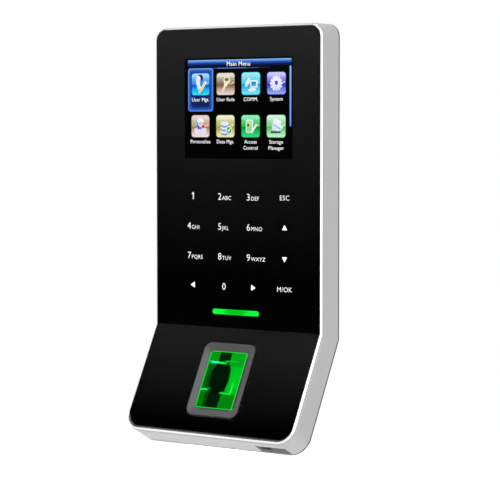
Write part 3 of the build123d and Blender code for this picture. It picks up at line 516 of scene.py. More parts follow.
def wear_group():
    """Brighter, smoother metal or plastic where edges are handled."""
    tree, given, end = shared(
        "edge_wear",
        (("Vector", "v"), ("Color", "c"), ("Worn Color", "c"), ("Roughness", "f"), ("Amount", "f")),
        (("Color", "c"), ("Roughness", "f"), ("Mask", "f")),
    )
    point = put(tree, "NewGeometry").outputs["Pointiness"]
    edge = span(tree, point, 0.51, 0.58)
    broken = noise(tree, given[0], 420.0, 5.0)
    mask = sum_up(tree, "MULTIPLY", sum_up(tree, "MULTIPLY", edge, span(tree, broken, 0.4, 0.7)), given[4])
    tinted = blend_colours(tree, mask, given[1], given[2])
    rough = sum_up(tree, "SUBTRACT", given[3], sum_up(tree, "MULTIPLY", mask, 0.12))
    return finish_group(tree, end, Color=tinted, Roughness=rough, Mask=mask)


def smudge_group():
    """Faint wiping marks and finger grease on gloss."""
    tree, given, end = shared(
        "handling_smudge", (("Vector", "v"), ("Roughness", "f"), ("Amount", "f")), (("Roughness", "f"),)
    )
    swirl = noise(tree, given[0], 38.0, 6.0, Distortion=1.4)
    fine = noise(tree, given[0], 900.0, 2.0)
    marks = sum_up(tree, "MULTIPLY", span(tree, swirl, 0.5, 0.75), sum_up(tree, "ADD", fine, 0.3))
    rough = sum_up(tree, "MULTIPLY_ADD", marks, given[2], given[1])
    return finish_group(tree, end, Roughness=rough)


def spangle_group():
    """Crystal patches of galvanised sheet."""
    tree, given, end = shared(
        "zinc_spangle", FINISH_INPUTS,
        FINISH_OUTPUTS,
    )
    warp = noise(tree, given[0], 260.0, 2.0, output="Color")
    bent = put(
        tree, "VectorMath", {0: warp, 1: (2 * MM, 2 * MM, 2 * MM), 2: given[0]}, operation="MULTIPLY_ADD"
    ).outputs[0]
    flakes = put(tree, "TexVoronoi", {"Vector": bent, "Scale": 300.0}).outputs["Color"]
    tone = put(tree, "SeparateColor", {0: flakes}).outputs[0]
    shade = span(tree, tone, 0.0, 1.0, 0.84, 1.08, "LINEAR")
    tinted = shaded(tree, given[1], shade)
    rough = sum_up(tree, "MULTIPLY_ADD", tone, 0.22, given[2])
    fine = noise(tree, given[0], 2400.0, 2.0)
    height = sum_up(tree, "MULTIPLY_ADD", tone, 0.6, fine)
    return finish_group(tree, end, Color=tinted, Roughness=rough, Height=height)


def tracks_group():
    """Copper tracks and plated holes under solder mask."""
    tree, given, end = shared(
        "board_tracks", FINISH_INPUTS, (*FINISH_OUTPUTS, ("Metal", "f")),
    )
    grid = put(tree, "TexBrick", {
        "Vector": given[0], "Color1": (0, 0, 0, 1), "Color2": (0.35, 0.35, 0.35, 1), "Mortar": (1, 1, 1, 1),
        "Scale": 190.0, "Mortar Size": 0.05, "Mortar Smooth": 0.1, "Row Height": 0.32, "Brick Width": 1.3,
    }).outputs[0]
    track = put(tree, "SeparateColor", {0: grid}).outputs[0]
    dots = put(tree, "TexVoronoi", {"Vector": given[0], "Scale": 330.0, "Randomness": 0.85}).outputs[0]
    pads = span(tree, dots, 0.2, 0.16)
    lifted = blend_colours(tree, sum_up(tree, "MULTIPLY", track, 0.55), given[1], (0.08, 0.36, 0.12, 1))
    plated = blend_colours(tree, pads, lifted, (0.72, 0.66, 0.5, 1))
    rough = sum_up(tree, "MULTIPLY_ADD", pads, -0.12, given[2])
    height = sum_up(tree, "ADD", sum_up(tree, "MULTIPLY", track, 0.5), pads)
    return finish_group(tree, end, Color=plated, Roughness=rough, Height=height, Metal=pads)


GROUPS = {}


def shader_group(name):
    makers = {
        "grain": grain_group, "brushed": brushed_group, "wear": wear_group,
        "smudge": smudge_group, "spangle": spangle_group, "tracks": tracks_group,
    }
    if name not in GROUPS:
        GROUPS[name] = makers[name]()
    return GROUPS[name]


def blank(name, **sockets):
    """A material with its plain sockets set; returns material, tree, shader and coordinates."""
    material = bpy.data.materials.new(name)
    material.use_nodes = True
    tree = material.node_tree
    shader = tree.nodes["Principled BSDF"]
    for key, value in sockets.items():
        shader.inputs[key.replace("_", " ")].default_value = value
    return material, tree, shader, put(tree, "TexCoord").outputs["Object"]


def use(tree, name, values):
    node = tree.nodes.new("ShaderNodeGroup")
    node.node_tree = shader_group(name)
    feed(tree, node, values)
    return node.outputs


def relief(tree, shader, height, strength, distance):
    bump = put(tree, "Bump", {"Height": height, "Strength": strength, "Distance": distance})
    tree.links.new(bump.outputs[0], shader.inputs["Normal"])


def opaque(rgb):
    return (*rgb, 1.0)


def dress(tree, shader, look, height, depth, distance):
    """Give a shader the colour, roughness and relief of a shared finish."""
    tree.links.new(look["Color"], shader.inputs["Base Color"])
    tree.links.new(look["Roughness"], shader.inputs["Roughness"])
    relief(tree, shader, height, depth, distance)


def wear_down(tree, shader, place, look, bright, wear, depth, distance):
    """Wear a shared finish where edges are handled, and dress the shader in it."""
    worn = use(tree, "wear", {
        "Vector": place, "Color": look["Color"], "Worn Color": opaque(bright),
        "Roughness": look["Roughness"], "Amount": wear,
    })
    dress(tree, shader, worn, look["Height"], depth, distance)


def moulded(name, rgb, rough, scale=1800.0, depth=0.35, tint=0.12, patchy=0.12, wear=0.0, **sockets):
    """Moulded, painted, rubbery or ceramic finish with its own grain."""
    material, tree, shader, place = blank(name, **sockets)
    grain = use(tree, "grain", {
        "Vector": place, "Color": opaque(rgb), "Roughness": rough, "Scale": scale, "Tint": tint,
        "Patchiness": patchy,
    })
    bright = [min(1.0, c * 1.6 + 0.05) for c in rgb]
    wear_down(tree, shader, place, grain, bright, wear, depth, 0.04 * MM)
    return material


def metal(
    name, rgb, rough, scale=900.0, stretch=(0.05, 1.0, 1.0), depth=0.25, tint=0.18, wear=0.3, **sockets
):
    """Bare, plated or drawn metal with its lines."""
    material, tree, shader, place = blank(name, Metallic=1.0, **sockets)
    lines = use(tree, "brushed", {
        "Vector": place, "Color": opaque(rgb), "Roughness": rough, "Scale": scale,
        "Stretch": stretch, "Tint": tint,
    })
    bright = [min(1.0, c * 1.25) for c in rgb]
    wear_down(tree, shader, place, lines, bright, wear, depth, 0.03 * MM)
    return material


def galvanised(name, rgb, rough):
    material, tree, shader, place = blank(name, Metallic=0.9)
    zinc = use(tree, "spangle", {"Vector": place, "Color": opaque(rgb), "Roughness": rough})
    wear_down(tree, shader, place, zinc, (0.8, 0.81, 0.82), 0.7, 0.18, 0.04 * MM)
    return material


def board(name, rgb, rough):
    material, tree, shader, place = blank(name, Coat_Weight=0.3, Coat_Roughness=0.2)
    turned = put(tree, "Mapping", {0: place, 2: (pi / 2, 0, 0)}, vector_type="TEXTURE").outputs[0]
    laid = use(tree, "tracks", {"Vector": turned, "Color": opaque(rgb), "Roughness": rough})
    dress(tree, shader, laid, laid["Height"], 0.4, 0.05 * MM)
    tree.links.new(laid["Metal"], shader.inputs["Metallic"])
    return material


def clear(name, rgb, ior, rough=0.0, smudge=0.05):
    """Clear panel or glass with faint handling marks."""
    material, tree, shader, place = blank(name, Base_Color=opaque(rgb), IOR=ior, Transmission_Weight=1.0)
    marks = use(tree, "smudge", {"Vector": place, "Roughness": rough, "Amount": smudge})
    tree.links.new(marks["Roughness"], shader.inputs["Roughness"])
    ripple = noise(tree, place, 14.0, 1.0)
    relief(tree, shader, ripple, 0.02, 0.0002)
    return material


def print_with_painted_sheen(name, rgb, painted_sheen):
    """Black print bonded behind the panel, with painted sheen: dark grey at the top of each leaf, fading to black
    down it, for the light that falls on each leaf.
    """
    material, tree, shader, place = blank(name, Roughness=0.6, Specular_IOR_Level=0.0)
    height = put(tree, "SeparateXYZ", {0: place}).outputs[2]
    crease, top, foot = UPPER.translation.z, CAD_BOX[1][2], CAD_BOX[0][2]
    # Painted sheen: lighter towards the top of the upper leaf and just below the crease on the lower leaf.
    upper = span(tree, height, crease + 0.15 * (top - crease), top, 0.0, 1.0, "LINEAR")
    upper = sum_up(tree, "POWER", upper, 1.1)
    lower = span(tree, height, crease + 0.80 * (foot - crease), crease, 0.0, 0.95, "LINEAR")
    below = sum_up(tree, "LESS_THAN", height, crease)
    painted_sheen_mask = sum_up(tree, "MULTIPLY_ADD", lower, below, upper)
    dots = noise(tree, place, 2600.0, 2.0)
    painted_sheen_mask = sum_up(tree, "MULTIPLY", painted_sheen_mask, span(tree, dots, 0.2, 0.8, 0.9, 1.1, "LINEAR"))
    tree.links.new(blend_colours(tree, painted_sheen_mask, opaque(rgb), opaque(painted_sheen)), shader.inputs["Base Color"])
    return material


def lit_picture(name, strength):
    """Black display whose light comes from the piece's own painted colours."""
    material, tree, shader, place = blank(
        name, Base_Color=(0.0008, 0.0008, 0.001, 1), Roughness=0.35, Emission_Strength=strength,
        Specular_IOR_Level=0.0,
    )
    paint = put(tree, "Attribute", attribute_name="glow").outputs["Color"]
    rows = noise(tree, place, 3200.0, 1.0)
    fleck = span(tree, rows, 0.3, 0.7, 0.93, 1.04, "LINEAR")
    tree.links.new(shaded(tree, paint, fleck), shader.inputs["Emission Color"])
    return material


def lit_print(name, rgb, strength, centre=None, reach=None, dim=None):
    """Print or diffuser lit from behind, with a dimmer middle between its lamps."""
    material, tree, shader, place = blank(
        name, Base_Color=opaque([0.2 * c for c in rgb]), Roughness=0.45, Emission_Strength=strength,
        Specular_IOR_Level=0.0,
    )
    if centre is None:
        cloud = noise(tree, place, 260.0, 2.0)
        near = span(tree, cloud, 0.3, 0.7, 0.2, 0.0, "LINEAR")
    else:
        local = put(tree, "Mapping", {0: place, 1: centre, 3: reach}, vector_type="TEXTURE").outputs[0]
        fall = put(tree, "TexGradient", {0: local}, gradient_type="SPHERICAL").outputs[0]
        near = span(tree, fall, 0.25, 0.75)
    light = blend_colours(tree, near, opaque(rgb), opaque(dim or [0.5 * c for c in rgb]))
    tree.links.new(light, shader.inputs["Emission Color"])
    return material


# Green light in the finger window and painted reflections of the parts inside it, dark shapes and bright lines,
# each "ball" or "box" with its centre, reach, softness, colour and weight. Coordinates run from -1 to 1 across
# the window and up it.
WINDOW_LIGHT_AND_PAINTED_REFLECTIONS = (
    ("ball", (0.70, 0.05), (0.60, 0.95), 1.0, (0.0, 0.60, 0.016), 0.9),
    ("box", (0.62, 0.72), (0.42, 0.24), 0.5, (0.0, 0.36, 0.008), 0.8),
    ("box", (-0.74, 0.82), (0.32, 0.22), 0.25, (0.0, 0.30, 0.006), 1.0),
    ("box", (-0.74, 0.08), (0.36, 0.50), 0.3, (0.0, 0.13, 0.004), 1.0),
    ("ball", (-0.60, -0.05), (0.34, 0.60), 0.9, (0.0, 0.05, 0.002), 0.9),
    ("box", (-0.72, -0.72), (0.34, 0.33), 0.2, (0.0, 0.17, 0.003), 1.0),
    ("box", (-0.50, -0.72), (0.14, 0.33), 0.8, (0.0, 0.05, 0.001), 0.9),
    ("box", (0.60, -0.76), (0.42, 0.30), 0.1, (0.0, 0.23, 0.004), 1.0),
    ("box", (-0.14, 0.82), (0.30, 0.22), 0.12, (0.0, 0.009, 0.001), 0.98),
    ("ball", (-0.13, 0.24), (0.52, 0.42), 0.12, (0.0, 0.007, 0.001), 0.98),
    ("box", (-0.12, 0.38), (0.27, 0.14), 0.2, (0.0, 0.006, 0.001), 0.98),
    ("box", (0.04, 0.54), (0.11, 0.10), 0.3, (0.0, 0.006, 0.001), 0.98),
    ("ball", (-0.12, -0.02), (0.54, 0.50), 0.12, (0.0, 0.008, 0.001), 0.98),
    ("box", (-0.10, -0.22), (0.42, 0.18), 0.2, (0.0, 0.006, 0.001), 0.98),
    ("box", (-0.125, -0.70), (0.315, 0.36), 0.12, (0.0, 0.005, 0.001), 0.98),
    ("box", (-0.42, 0.59), (0.40, 0.038), 0.9, (0.002, 0.95, 0.07), 1.0),
    ("box", (-0.58, 0.595), (0.17, 0.026), 0.9, (0.03, 1.0, 0.75), 1.0),
    ("box", (0.02, 0.655), (0.11, 0.024), 0.8, (0.0, 0.62, 0.02), 0.9),
    ("box", (0.34, 0.665), (0.26, 0.020), 0.9, (0.0, 0.72, 0.03), 0.8),
    ("box", (-0.80, -0.36), (0.20, 0.028), 0.9, (0.01, 0.95, 0.16), 1.0),
    ("ball", (-0.54, -0.32), (0.16, 0.07), 0.9, (0.0, 0.30, 0.01), 0.7),
    ("box", (0.38, -0.445), (0.26, 0.026), 0.8, (0.0, 0.90, 0.03), 1.0),
    ("box", (0.655, -0.30), (0.040, 0.16), 0.9, (0.01, 1.0, 0.08), 1.0),
    ("box", (0.675, -0.14), (0.022, 0.12), 0.9, (0.0, 0.90, 0.03), 0.9),
)


def window_light(name, rgb, strength, centre, half):
    """Green light in the finger window, with painted reflections of the parts inside it: dark shapes and bright
    lines.
    """
    material, tree, shader, place = blank(
        name, Base_Color=(0.0005, 0.002, 0.0008, 1), Roughness=0.05, IOR=1.5, Emission_Strength=strength,
    )
    local = put(
        tree, "Mapping", {0: place, 1: centre, 2: (pi / 2 - LEAN, 0, 0), 3: (half[0], half[1], 1.0)},
        vector_type="TEXTURE",
    ).outputs[0]
    ragged = noise(tree, local, 2.6, 4.0, output="Color")
    jitter = put(
        tree, "VectorMath", {0: ragged, 1: (0.14, 0.09, 0.0), 2: local}, operation="MULTIPLY_ADD"
    ).outputs[0]
    centred = put(tree, "VectorMath", {0: jitter, 1: (0.07, 0.045, 0.0)}, operation="SUBTRACT").outputs[0]

    def patch(kind, spot, reach, softness):
        near = put(
            tree, "Mapping", {0: centred, 1: (*spot, 0), 3: (*reach, 50.0)}, vector_type="TEXTURE"
        ).outputs[0]
        if kind == "ball":
            ball = put(tree, "TexGradient", {0: near}, gradient_type="SPHERICAL").outputs[0]
            return span(tree, ball, 0.0, softness)
        parts = put(tree, "SeparateXYZ", {0: near}).outputs
        sides = [sum_up(tree, "ABSOLUTE", part, 0.0) for part in parts[:2]]
        return span(tree, sum_up(tree, "MAXIMUM", *sides), 1.0 + softness / 2, 1.0 - softness / 2)

    across = put(tree, "SeparateXYZ", {0: local}).outputs
    side = span(tree, across[1], -1.0, 1.0, 0.9, 1.1, "LINEAR")
    lit = put(tree, "VectorMath", {0: rgb, "Scale": side}, operation="SCALE").outputs[0]
    for kind, spot, reach, softness, tone, weight in WINDOW_LIGHT_AND_PAINTED_REFLECTIONS:
        lit = blend_colours(
            tree, sum_up(tree, "MULTIPLY", patch(kind, spot, reach, softness), weight), lit, opaque(tone)
        )
    edge = [sum_up(tree, "ABSOLUTE", part, 0.0) for part in across[:2]]
    # Painted highlight along the window's edge, then painted shade in the gap round it.
    for low, high, tone, weight in (
        (0.90, 0.94, (0.0, 0.85, 0.04), 0.9), (0.966, 0.982, (0.035, 0.004, 0.040), 1.0),
    ):
        side_rim = span(tree, edge[0], low, high)
        rim = sum_up(tree, "MAXIMUM", side_rim, span(tree, edge[1], (low + 1) / 2, (high + 1) / 2))
        lit = blend_colours(tree, sum_up(tree, "MULTIPLY", rim, weight), lit, opaque(tone))
    tree.links.new(lit, shader.inputs["Emission Color"])
    ridges = noise(tree, local, 1.2, 1.0)
    relief(tree, shader, ridges, 0.05, 0.0001)
    return material


# Finish by slot name: colour, roughness, grain scale, grain depth, tint, patchiness, wear.
MOULDINGS = {
    "black_tape": ((0.02, 0.02, 0.02), 0.8, 900.0, 0.8, 0.4, 0.1),
    "grey_sealant": ((0.20, 0.20, 0.205), 0.45, 1300.0, 0.4, 0.2, 0.2),
    "foam_rubber": ((0.035, 0.035, 0.037), 0.92, 1100.0, 1.0, 0.7, 0.05),
    "display_black": ((0.01, 0.01, 0.014), 0.12, 900.0, 0.02, 0.05, 0.02),
    "ivory_nylon": ((0.74, 0.69, 0.57), 0.45, 1200.0, 0.25, 0.1, 0.15, 0.2),
    "white_lamp": ((0.85, 0.83, 0.7), 0.3, 1500.0, 0.1, 0.1, 0.1),
    "black_rubber": ((0.018, 0.018, 0.018), 0.7, 1000.0, 0.5, 0.3, 0.1),
    "lens_barrel": ((0.02, 0.02, 0.022), 0.25, 1500.0, 0.1, 0.2, 0.1, 0.5),
    "black_chip": ((0.022, 0.022, 0.024), 0.5, 2400.0, 0.5, 0.4, 0.1, 0.2),
    "speaker_black": ((0.03, 0.03, 0.03), 0.6, 900.0, 0.5, 0.5, 0.2),
    "white_ceramic": ((0.84, 0.83, 0.79), 0.35, 1500.0, 0.2, 0.05, 0.1),
    "white_nylon": ((0.80, 0.80, 0.78), 0.38, 1500.0, 0.2, 0.06, 0.1, 0.1),
    "port_plastic": ((0.90, 0.93, 0.98), 0.4, 1500.0, 0.2, 0.08, 0.1),
}
# Finish by slot name: colour, roughness, line scale, stretch, line depth, tint, wear.
METALS = {
    "dark_screw": ((0.07, 0.07, 0.075), 0.34, 1500.0, (1, 1, 1), 0.2, 0.3, 0.9),
    "steel_screw": ((0.62, 0.62, 0.62), 0.26, 1500.0, (1, 1, 0.2), 0.2, 0.2, 0.4),
    "display_frame": ((0.6, 0.6, 0.62), 0.35),
    "brass_insert": ((0.72, 0.52, 0.22), 0.3, 2000.0, (1, 0.1, 1), 0.5),
    "tinned_steel": ((0.66, 0.66, 0.64), 0.32, 700.0),
    "gold_contact": ((0.86, 0.62, 0.24), 0.2, 1500.0, (1, 1, 0.2), 0.1, 0.1, 0.3),
    "polished_steel": ((0.7, 0.7, 0.7), 0.14, 500.0),
    "spring_steel": ((0.5, 0.5, 0.5), 0.25, 1500.0, (1, 1, 1)),
    # The port shell's nickel is darker than bare nickel: partly its own tone, partly painted shade for the inside
    # of the port.
    "nickel_shell": ((0.42, 0.43, 0.45), 0.24, 600.0, (1, 0.1, 1), 0.15, 0.1, 0.5),
}
FINISHES = {}


def finishes():
    """Every finish of the terminal by its slot name, made once."""
    if FINISHES:
        return FINISHES
    scene = bpy.context.scene
    body, panel, scanner = scene.terminal_body, scene.terminal_panel, scene.terminal_scanner
    rows = (
        (galvanised, "zinc_plate", (body.zinc, 0.30), {}),
        (print_with_painted_sheen, "black_print", (panel.print_colour, panel.print_painted_sheen), {}),
        (clear, "clear_panel", ((0.98, 0.985, 0.985), 1.49, 0.004, 0.03), {}),
        (clear, "prism_glass", ((0.6, 0.95, 0.65), 1.6, 0.0, 0.02), {}),
        (board, "dark_board", ((0.01, 0.03, 0.02), 0.4), {}),
        (board, "green_board", ((0.012, 0.13, 0.045), 0.36), {}),
        (
            moulded, "silver_paint", (body.silver, 0.33, 3000.0, 0.25, 0.10, 0.03, 0.15),
            {"Metallic": 0.72, "Coat_Weight": 0.25, "Coat_Roughness": 0.25},
        ),
        (metal, "polished_rim", (body.rim, 0.20, 700.0, (0.3, 1, 1), 0.05, 0.05, 0.2), {}),
        (moulded, "black_moulding", (body.moulding, 0.52, 1500.0, 0.6, 0.3, 0.15, 0.35), {}),
        (moulded, "label_film", ((0.62, 0.63, 0.64), 0.42, 2600.0, 0.15, 0.08, 0.1), {"Metallic": 0.35}),
        (moulded, "amber_ribbon", ((0.42, 0.17, 0.03), 0.3, 700.0, 0.1, 0.3, 0.1), {"Coat_Weight": 0.5}),
        (
            moulded, "milky_guide", ((0.55, 0.8, 0.58), 0.35, 900.0, 0.1, 0.1, 0.1),
            {"Emission_Color": (0.01, 0.5, 0.03, 1), "Emission_Strength": 0.3},
        ),
        (moulded, "grey_moulding", (scanner.frame_colour, 0.40, 2000.0, 0.35, 0.15, 0.12, 0.5), {}),
        *((moulded, name, values, {}) for name, values in MOULDINGS.items()),
        *((metal, name, values, {}) for name, values in METALS.items()),
    )
    for maker, name, values, sockets in rows:
        FINISHES[name] = maker(name, *values, **sockets)
    return FINISHES


# ------------------------------------------------------------------ picture of the display
def paint(piece, top, low):
    """Painted light of a flat shape: two colours from its top to its foot."""
    mesh = piece.data
    layer = mesh.color_attributes.new("glow", "FLOAT_COLOR", "POINT")
    heights = [vertex.co.y for vertex in mesh.vertices]
    foot, reach = min(heights), max(max(heights) - min(heights), 1e-9)
    for index, vertex in enumerate(mesh.vertices):
        part = (vertex.co.y - foot) / reach
        layer.data[index].color = [*(low[i] + (top[i] - low[i]) * part for i in range(3)), 1.0]


class Picture:
    """Flat shapes of the display, laid one over the other."""

    step = 0.004 * MM

    def __init__(self, z):
        self.pieces, self.z, self.layer = [], z, 0
        self.place(0, 0, 1)

    def place(self, x, y, unit):
        """Put the next bars and discs round this point, in this unit."""
        self.x, self.y, self.unit = x, y, unit

    def spot(self, x, y):
        return self.x + x * self.unit, self.y + y * self.unit

    def lay(self, piece, top, low=None, turn=0.0, at=(0, 0)):
        """Turn a flat shape, put it in its place on the next layer and paint it."""
        self.layer += 1
        paint(piece, top, low or top)
        edit(piece, "VERT")
        if turn:
            spin(turn)
        move(at[0], at[1], self.z + self.layer * self.step)
        done()
        self.pieces.append(piece)

    def bar(self, x, y, width, height, top, low=None, corner=0.0, turn=0.0):
        width, height, corner = width * self.unit, height * self.unit, corner * self.unit
        shape = outline("shape", width, height, min(corner, 0.49 * min(width, height)), segments=4)
        self.lay(shape, top, low, turn, self.spot(x, y))

    def disc(self, x, y, width, height, top, low=None, sides=20, turn=0.0):
        bpy.ops.mesh.primitive_circle_add(vertices=sides, radius=0.5, fill_type="NGON")
        piece = bpy.context.object
        edit(piece, "VERT")
        stretch(width * self.unit, height * self.unit, 1)
        done()
        self.lay(piece, top, low, turn, self.spot(x, y))

    def words(self, text, x, y, height, tone, align="CENTER"):
        self.lay(lettering(text, height, align, PICTURE_WEIGHT), tone, at=(x, y))


CAPITAL_HEIGHT = 0.7293  # of the built-in letters, as a share of their size
LETTER_GAP = 1.05
PICTURE_WEIGHT, LEGEND_WEIGHT = -0.004, -0.006  # outset of the letters' outline, as a share of their size
PICTURE_LIFT, LEGEND_LIFT = 0.02 * MM, 0.03 * MM  # in front of the print


def lettering(text, height, align="CENTER", weight=0.0):
    """Letters as a flat mesh whose capitals have this height, standing on their base line."""
    bpy.ops.object.text_add()
    piece = bpy.context.object
    piece.data.body = text
    piece.data.align_x = align
    piece.data.size = height / CAPITAL_HEIGHT
    piece.data.resolution_u = 3
    piece.data.space_character = LETTER_GAP
    piece.data.offset = weight * piece.data.size
    bpy.ops.object.convert(target="MESH")
    return named("letters")


def hue(red, green, blue):
    """Linear colour of a display colour given in steps of 0 to 255."""
    return tuple(
        ((step / 255 + 0.055) / 1.055) ** 2.4 if step > 10 else step / 3295 for step in (red, green, blue)
    )


def mix(first, second, share):
    """A colour this share of the way from the first to the second."""
    return tuple((1 - share) * a + share * b for a, b in zip(first, second))


WHITE = hue(250, 252, 255)
BRIGHT = tuple(1.5 * part for part in WHITE)
PALE = hue(214, 232, 246)


def draw_user(picture):
    picture.disc(-0.02, -0.26, 0.50, 0.34, hue(0, 226, 232), hue(0, 170, 220))
    picture.disc(-0.02, 0.28, 0.32, 0.32, hue(6, 16, 60), hue(10, 60, 150))
    picture.disc(-0.13, 0.19, 0.25, 0.40, WHITE, PALE, turn=-12)
    picture.bar(-0.10, -0.06, 0.19, 0.34, WHITE, PALE, 0.07, turn=22)
    picture.bar(0.10, -0.13, 0.12, 0.64, WHITE, WHITE, 0.03, turn=-38)
    picture.bar(0.08, -0.15, 0.08, 0.56, hue(255, 240, 120), hue(250, 205, 70), turn=-38)


def draw_key(picture):
    cream = hue(250, 246, 222)
    picture.disc(0.07, 0.16, 0.38, 0.36, cream, hue(240, 232, 200))
    picture.disc(0.06, 0.20, 0.23, 0.17, hue(120, 108, 66), hue(150, 130, 84))
    picture.bar(0.01, -0.01, 0.19, 0.16, cream, cream, 0.05, turn=-28)
    picture.bar(-0.09, -0.19, 0.10, 0.36, cream, hue(236, 222, 170), turn=-28)


def draw_dish(picture):
    picture.disc(-0.29, 0.24, 0.11, 0.11, WHITE)
    picture.bar(-0.24, 0.19, 0.05, 0.20, hue(20, 140, 210), turn=40)
    picture.disc(-0.17, 0.06, 0.19, 0.46, WHITE, PALE, turn=-30)
    picture.bar(0.16, -0.02, 0.40, 0.34, WHITE, PALE, 0.05, turn=4)
    picture.bar(0.15, -0.01, 0.25, 0.19, hue(0, 120, 205), hue(60, 190, 235), turn=4)
    picture.disc(0.08, -0.27, 0.44, 0.15, WHITE, PALE, turn=4)


def draw_gear(picture):
    for turn in range(0, 180, 30):
        picture.bar(0, 0, 0.11, 0.66, WHITE, hue(225, 228, 255), 0.02, turn=turn)
    picture.disc(0, 0, 0.50, 0.50, WHITE, hue(225, 228, 255))
    picture.disc(0, 0.02, 0.17, 0.20, hue(70, 50, 190), hue(110, 100, 230))


def draw_palette(picture):
    picture.disc(0, -0.26, 0.66, 0.28, hue(225, 240, 245), hue(236, 220, 240))
    picture.bar(0, -0.15, 0.66, 0.16, hue(200, 238, 238), hue(225, 240, 245), 0.04)
    picture.disc(0, 0.10, 0.50, 0.52, WHITE, hue(240, 225, 245))
    for turn, tone in (
        (165, hue(0, 212, 222)), (205, hue(30, 150, 225)), (240, hue(70, 90, 225)),
        (275, hue(205, 110, 215)), (325, hue(240, 20, 24)), (10, hue(245, 150, 170)),
    ):
        across, up = 0.18 * cos(radians(turn)), 0.18 * sin(radians(turn))
        picture.disc(across, 0.10 + up, 0.15, 0.15, tone, sides=12)
    picture.disc(0, 0.12, 0.15, 0.15, hue(238, 205, 150))


def draw_store(picture):
    for rise in (-0.26, -0.09, 0.08):
        picture.disc(-0.04, rise - 0.04, 0.44, 0.20, hue(190, 210, 240), hue(120, 150, 215))
        picture.disc(-0.04, rise + 0.04, 0.44, 0.18, WHITE, hue(226, 236, 250))
    picture.disc(0.20, -0.16, 0.34, 0.34, WHITE)
    picture.disc(0.20, -0.16, 0.27, 0.27, hue(20, 190, 70), hue(0, 140, 60))
    picture.bar(0.155, -0.18, 0.05, 0.12, WHITE, turn=40)
    picture.bar(0.225, -0.15, 0.05, 0.20, WHITE, turn=-35)


def draw_door(picture):
    picture.bar(-0.06, 0, 0.38, 0.58, WHITE, PALE, 0.06, turn=-2)
    picture.bar(-0.07, 0.01, 0.27, 0.47, hue(190, 244, 130), hue(130, 225, 110), 0.03)
    picture.disc(-0.13, 0.05, 0.11, 0.13, hue(0, 92, 20))
    picture.disc(0.02, -0.27, 0.12, 0.12, hue(0, 96, 30))
    picture.bar(0.17, -0.10, 0.10, 0.50, WHITE, WHITE, 0.03, turn=-40)


def draw_drive(picture):
    picture.bar(0.02, 0.05, 0.42, 0.50, WHITE, PALE, 0.06, turn=-14)
    picture.bar(0.24, -0.08, 0.12, 0.26, WHITE, PALE, 0.05, turn=-50)
    picture.bar(0.04, -0.02, 0.035, 0.44, hue(90, 150, 235), turn=62)
    picture.bar(-0.02, -0.25, 0.52, 0.07, hue(0, 20, 86), hue(0, 10, 50), 0.02)


# Each icon's drawing, title, and its four display colours down the tile: top, above the bend, below it, foot.
MENU = (
    (draw_user, "User Mgt.", (170, 232, 255), (0, 128, 236), (0, 66, 232), (60, 232, 255)),
    (draw_key, "User Role", (244, 240, 226), (118, 98, 40), (140, 74, 4), (240, 226, 220)),
    (draw_dish, "COMM.", (170, 245, 255), (0, 214, 240), (0, 146, 226), (110, 248, 255)),
    (draw_gear, "System", (214, 218, 255), (76, 60, 232), (36, 0, 196), (150, 176, 255)),
    (draw_palette, "Personalize", (240, 226, 220), (190, 156, 108), (186, 98, 20), (248, 238, 248)),
    (draw_store, "Data Mgt.", (250, 252, 224), (180, 184, 60), (170, 154, 10), (248, 246, 190)),
    (draw_door, "Access\nControl", (150, 250, 196), (0, 186, 48), (0, 142, 34), (50, 226, 140)),
    (draw_drive, "Storage\nManager", (226, 255, 238), (110, 214, 130), (84, 184, 60), (190, 252, 216)),
)
MENU_COLUMNS = (-17.5 * MM, -5.6 * MM, 6.2 * MM, 17.95 * MM)
MENU_ROWS = (93.3 * MM, 77.2 * MM)


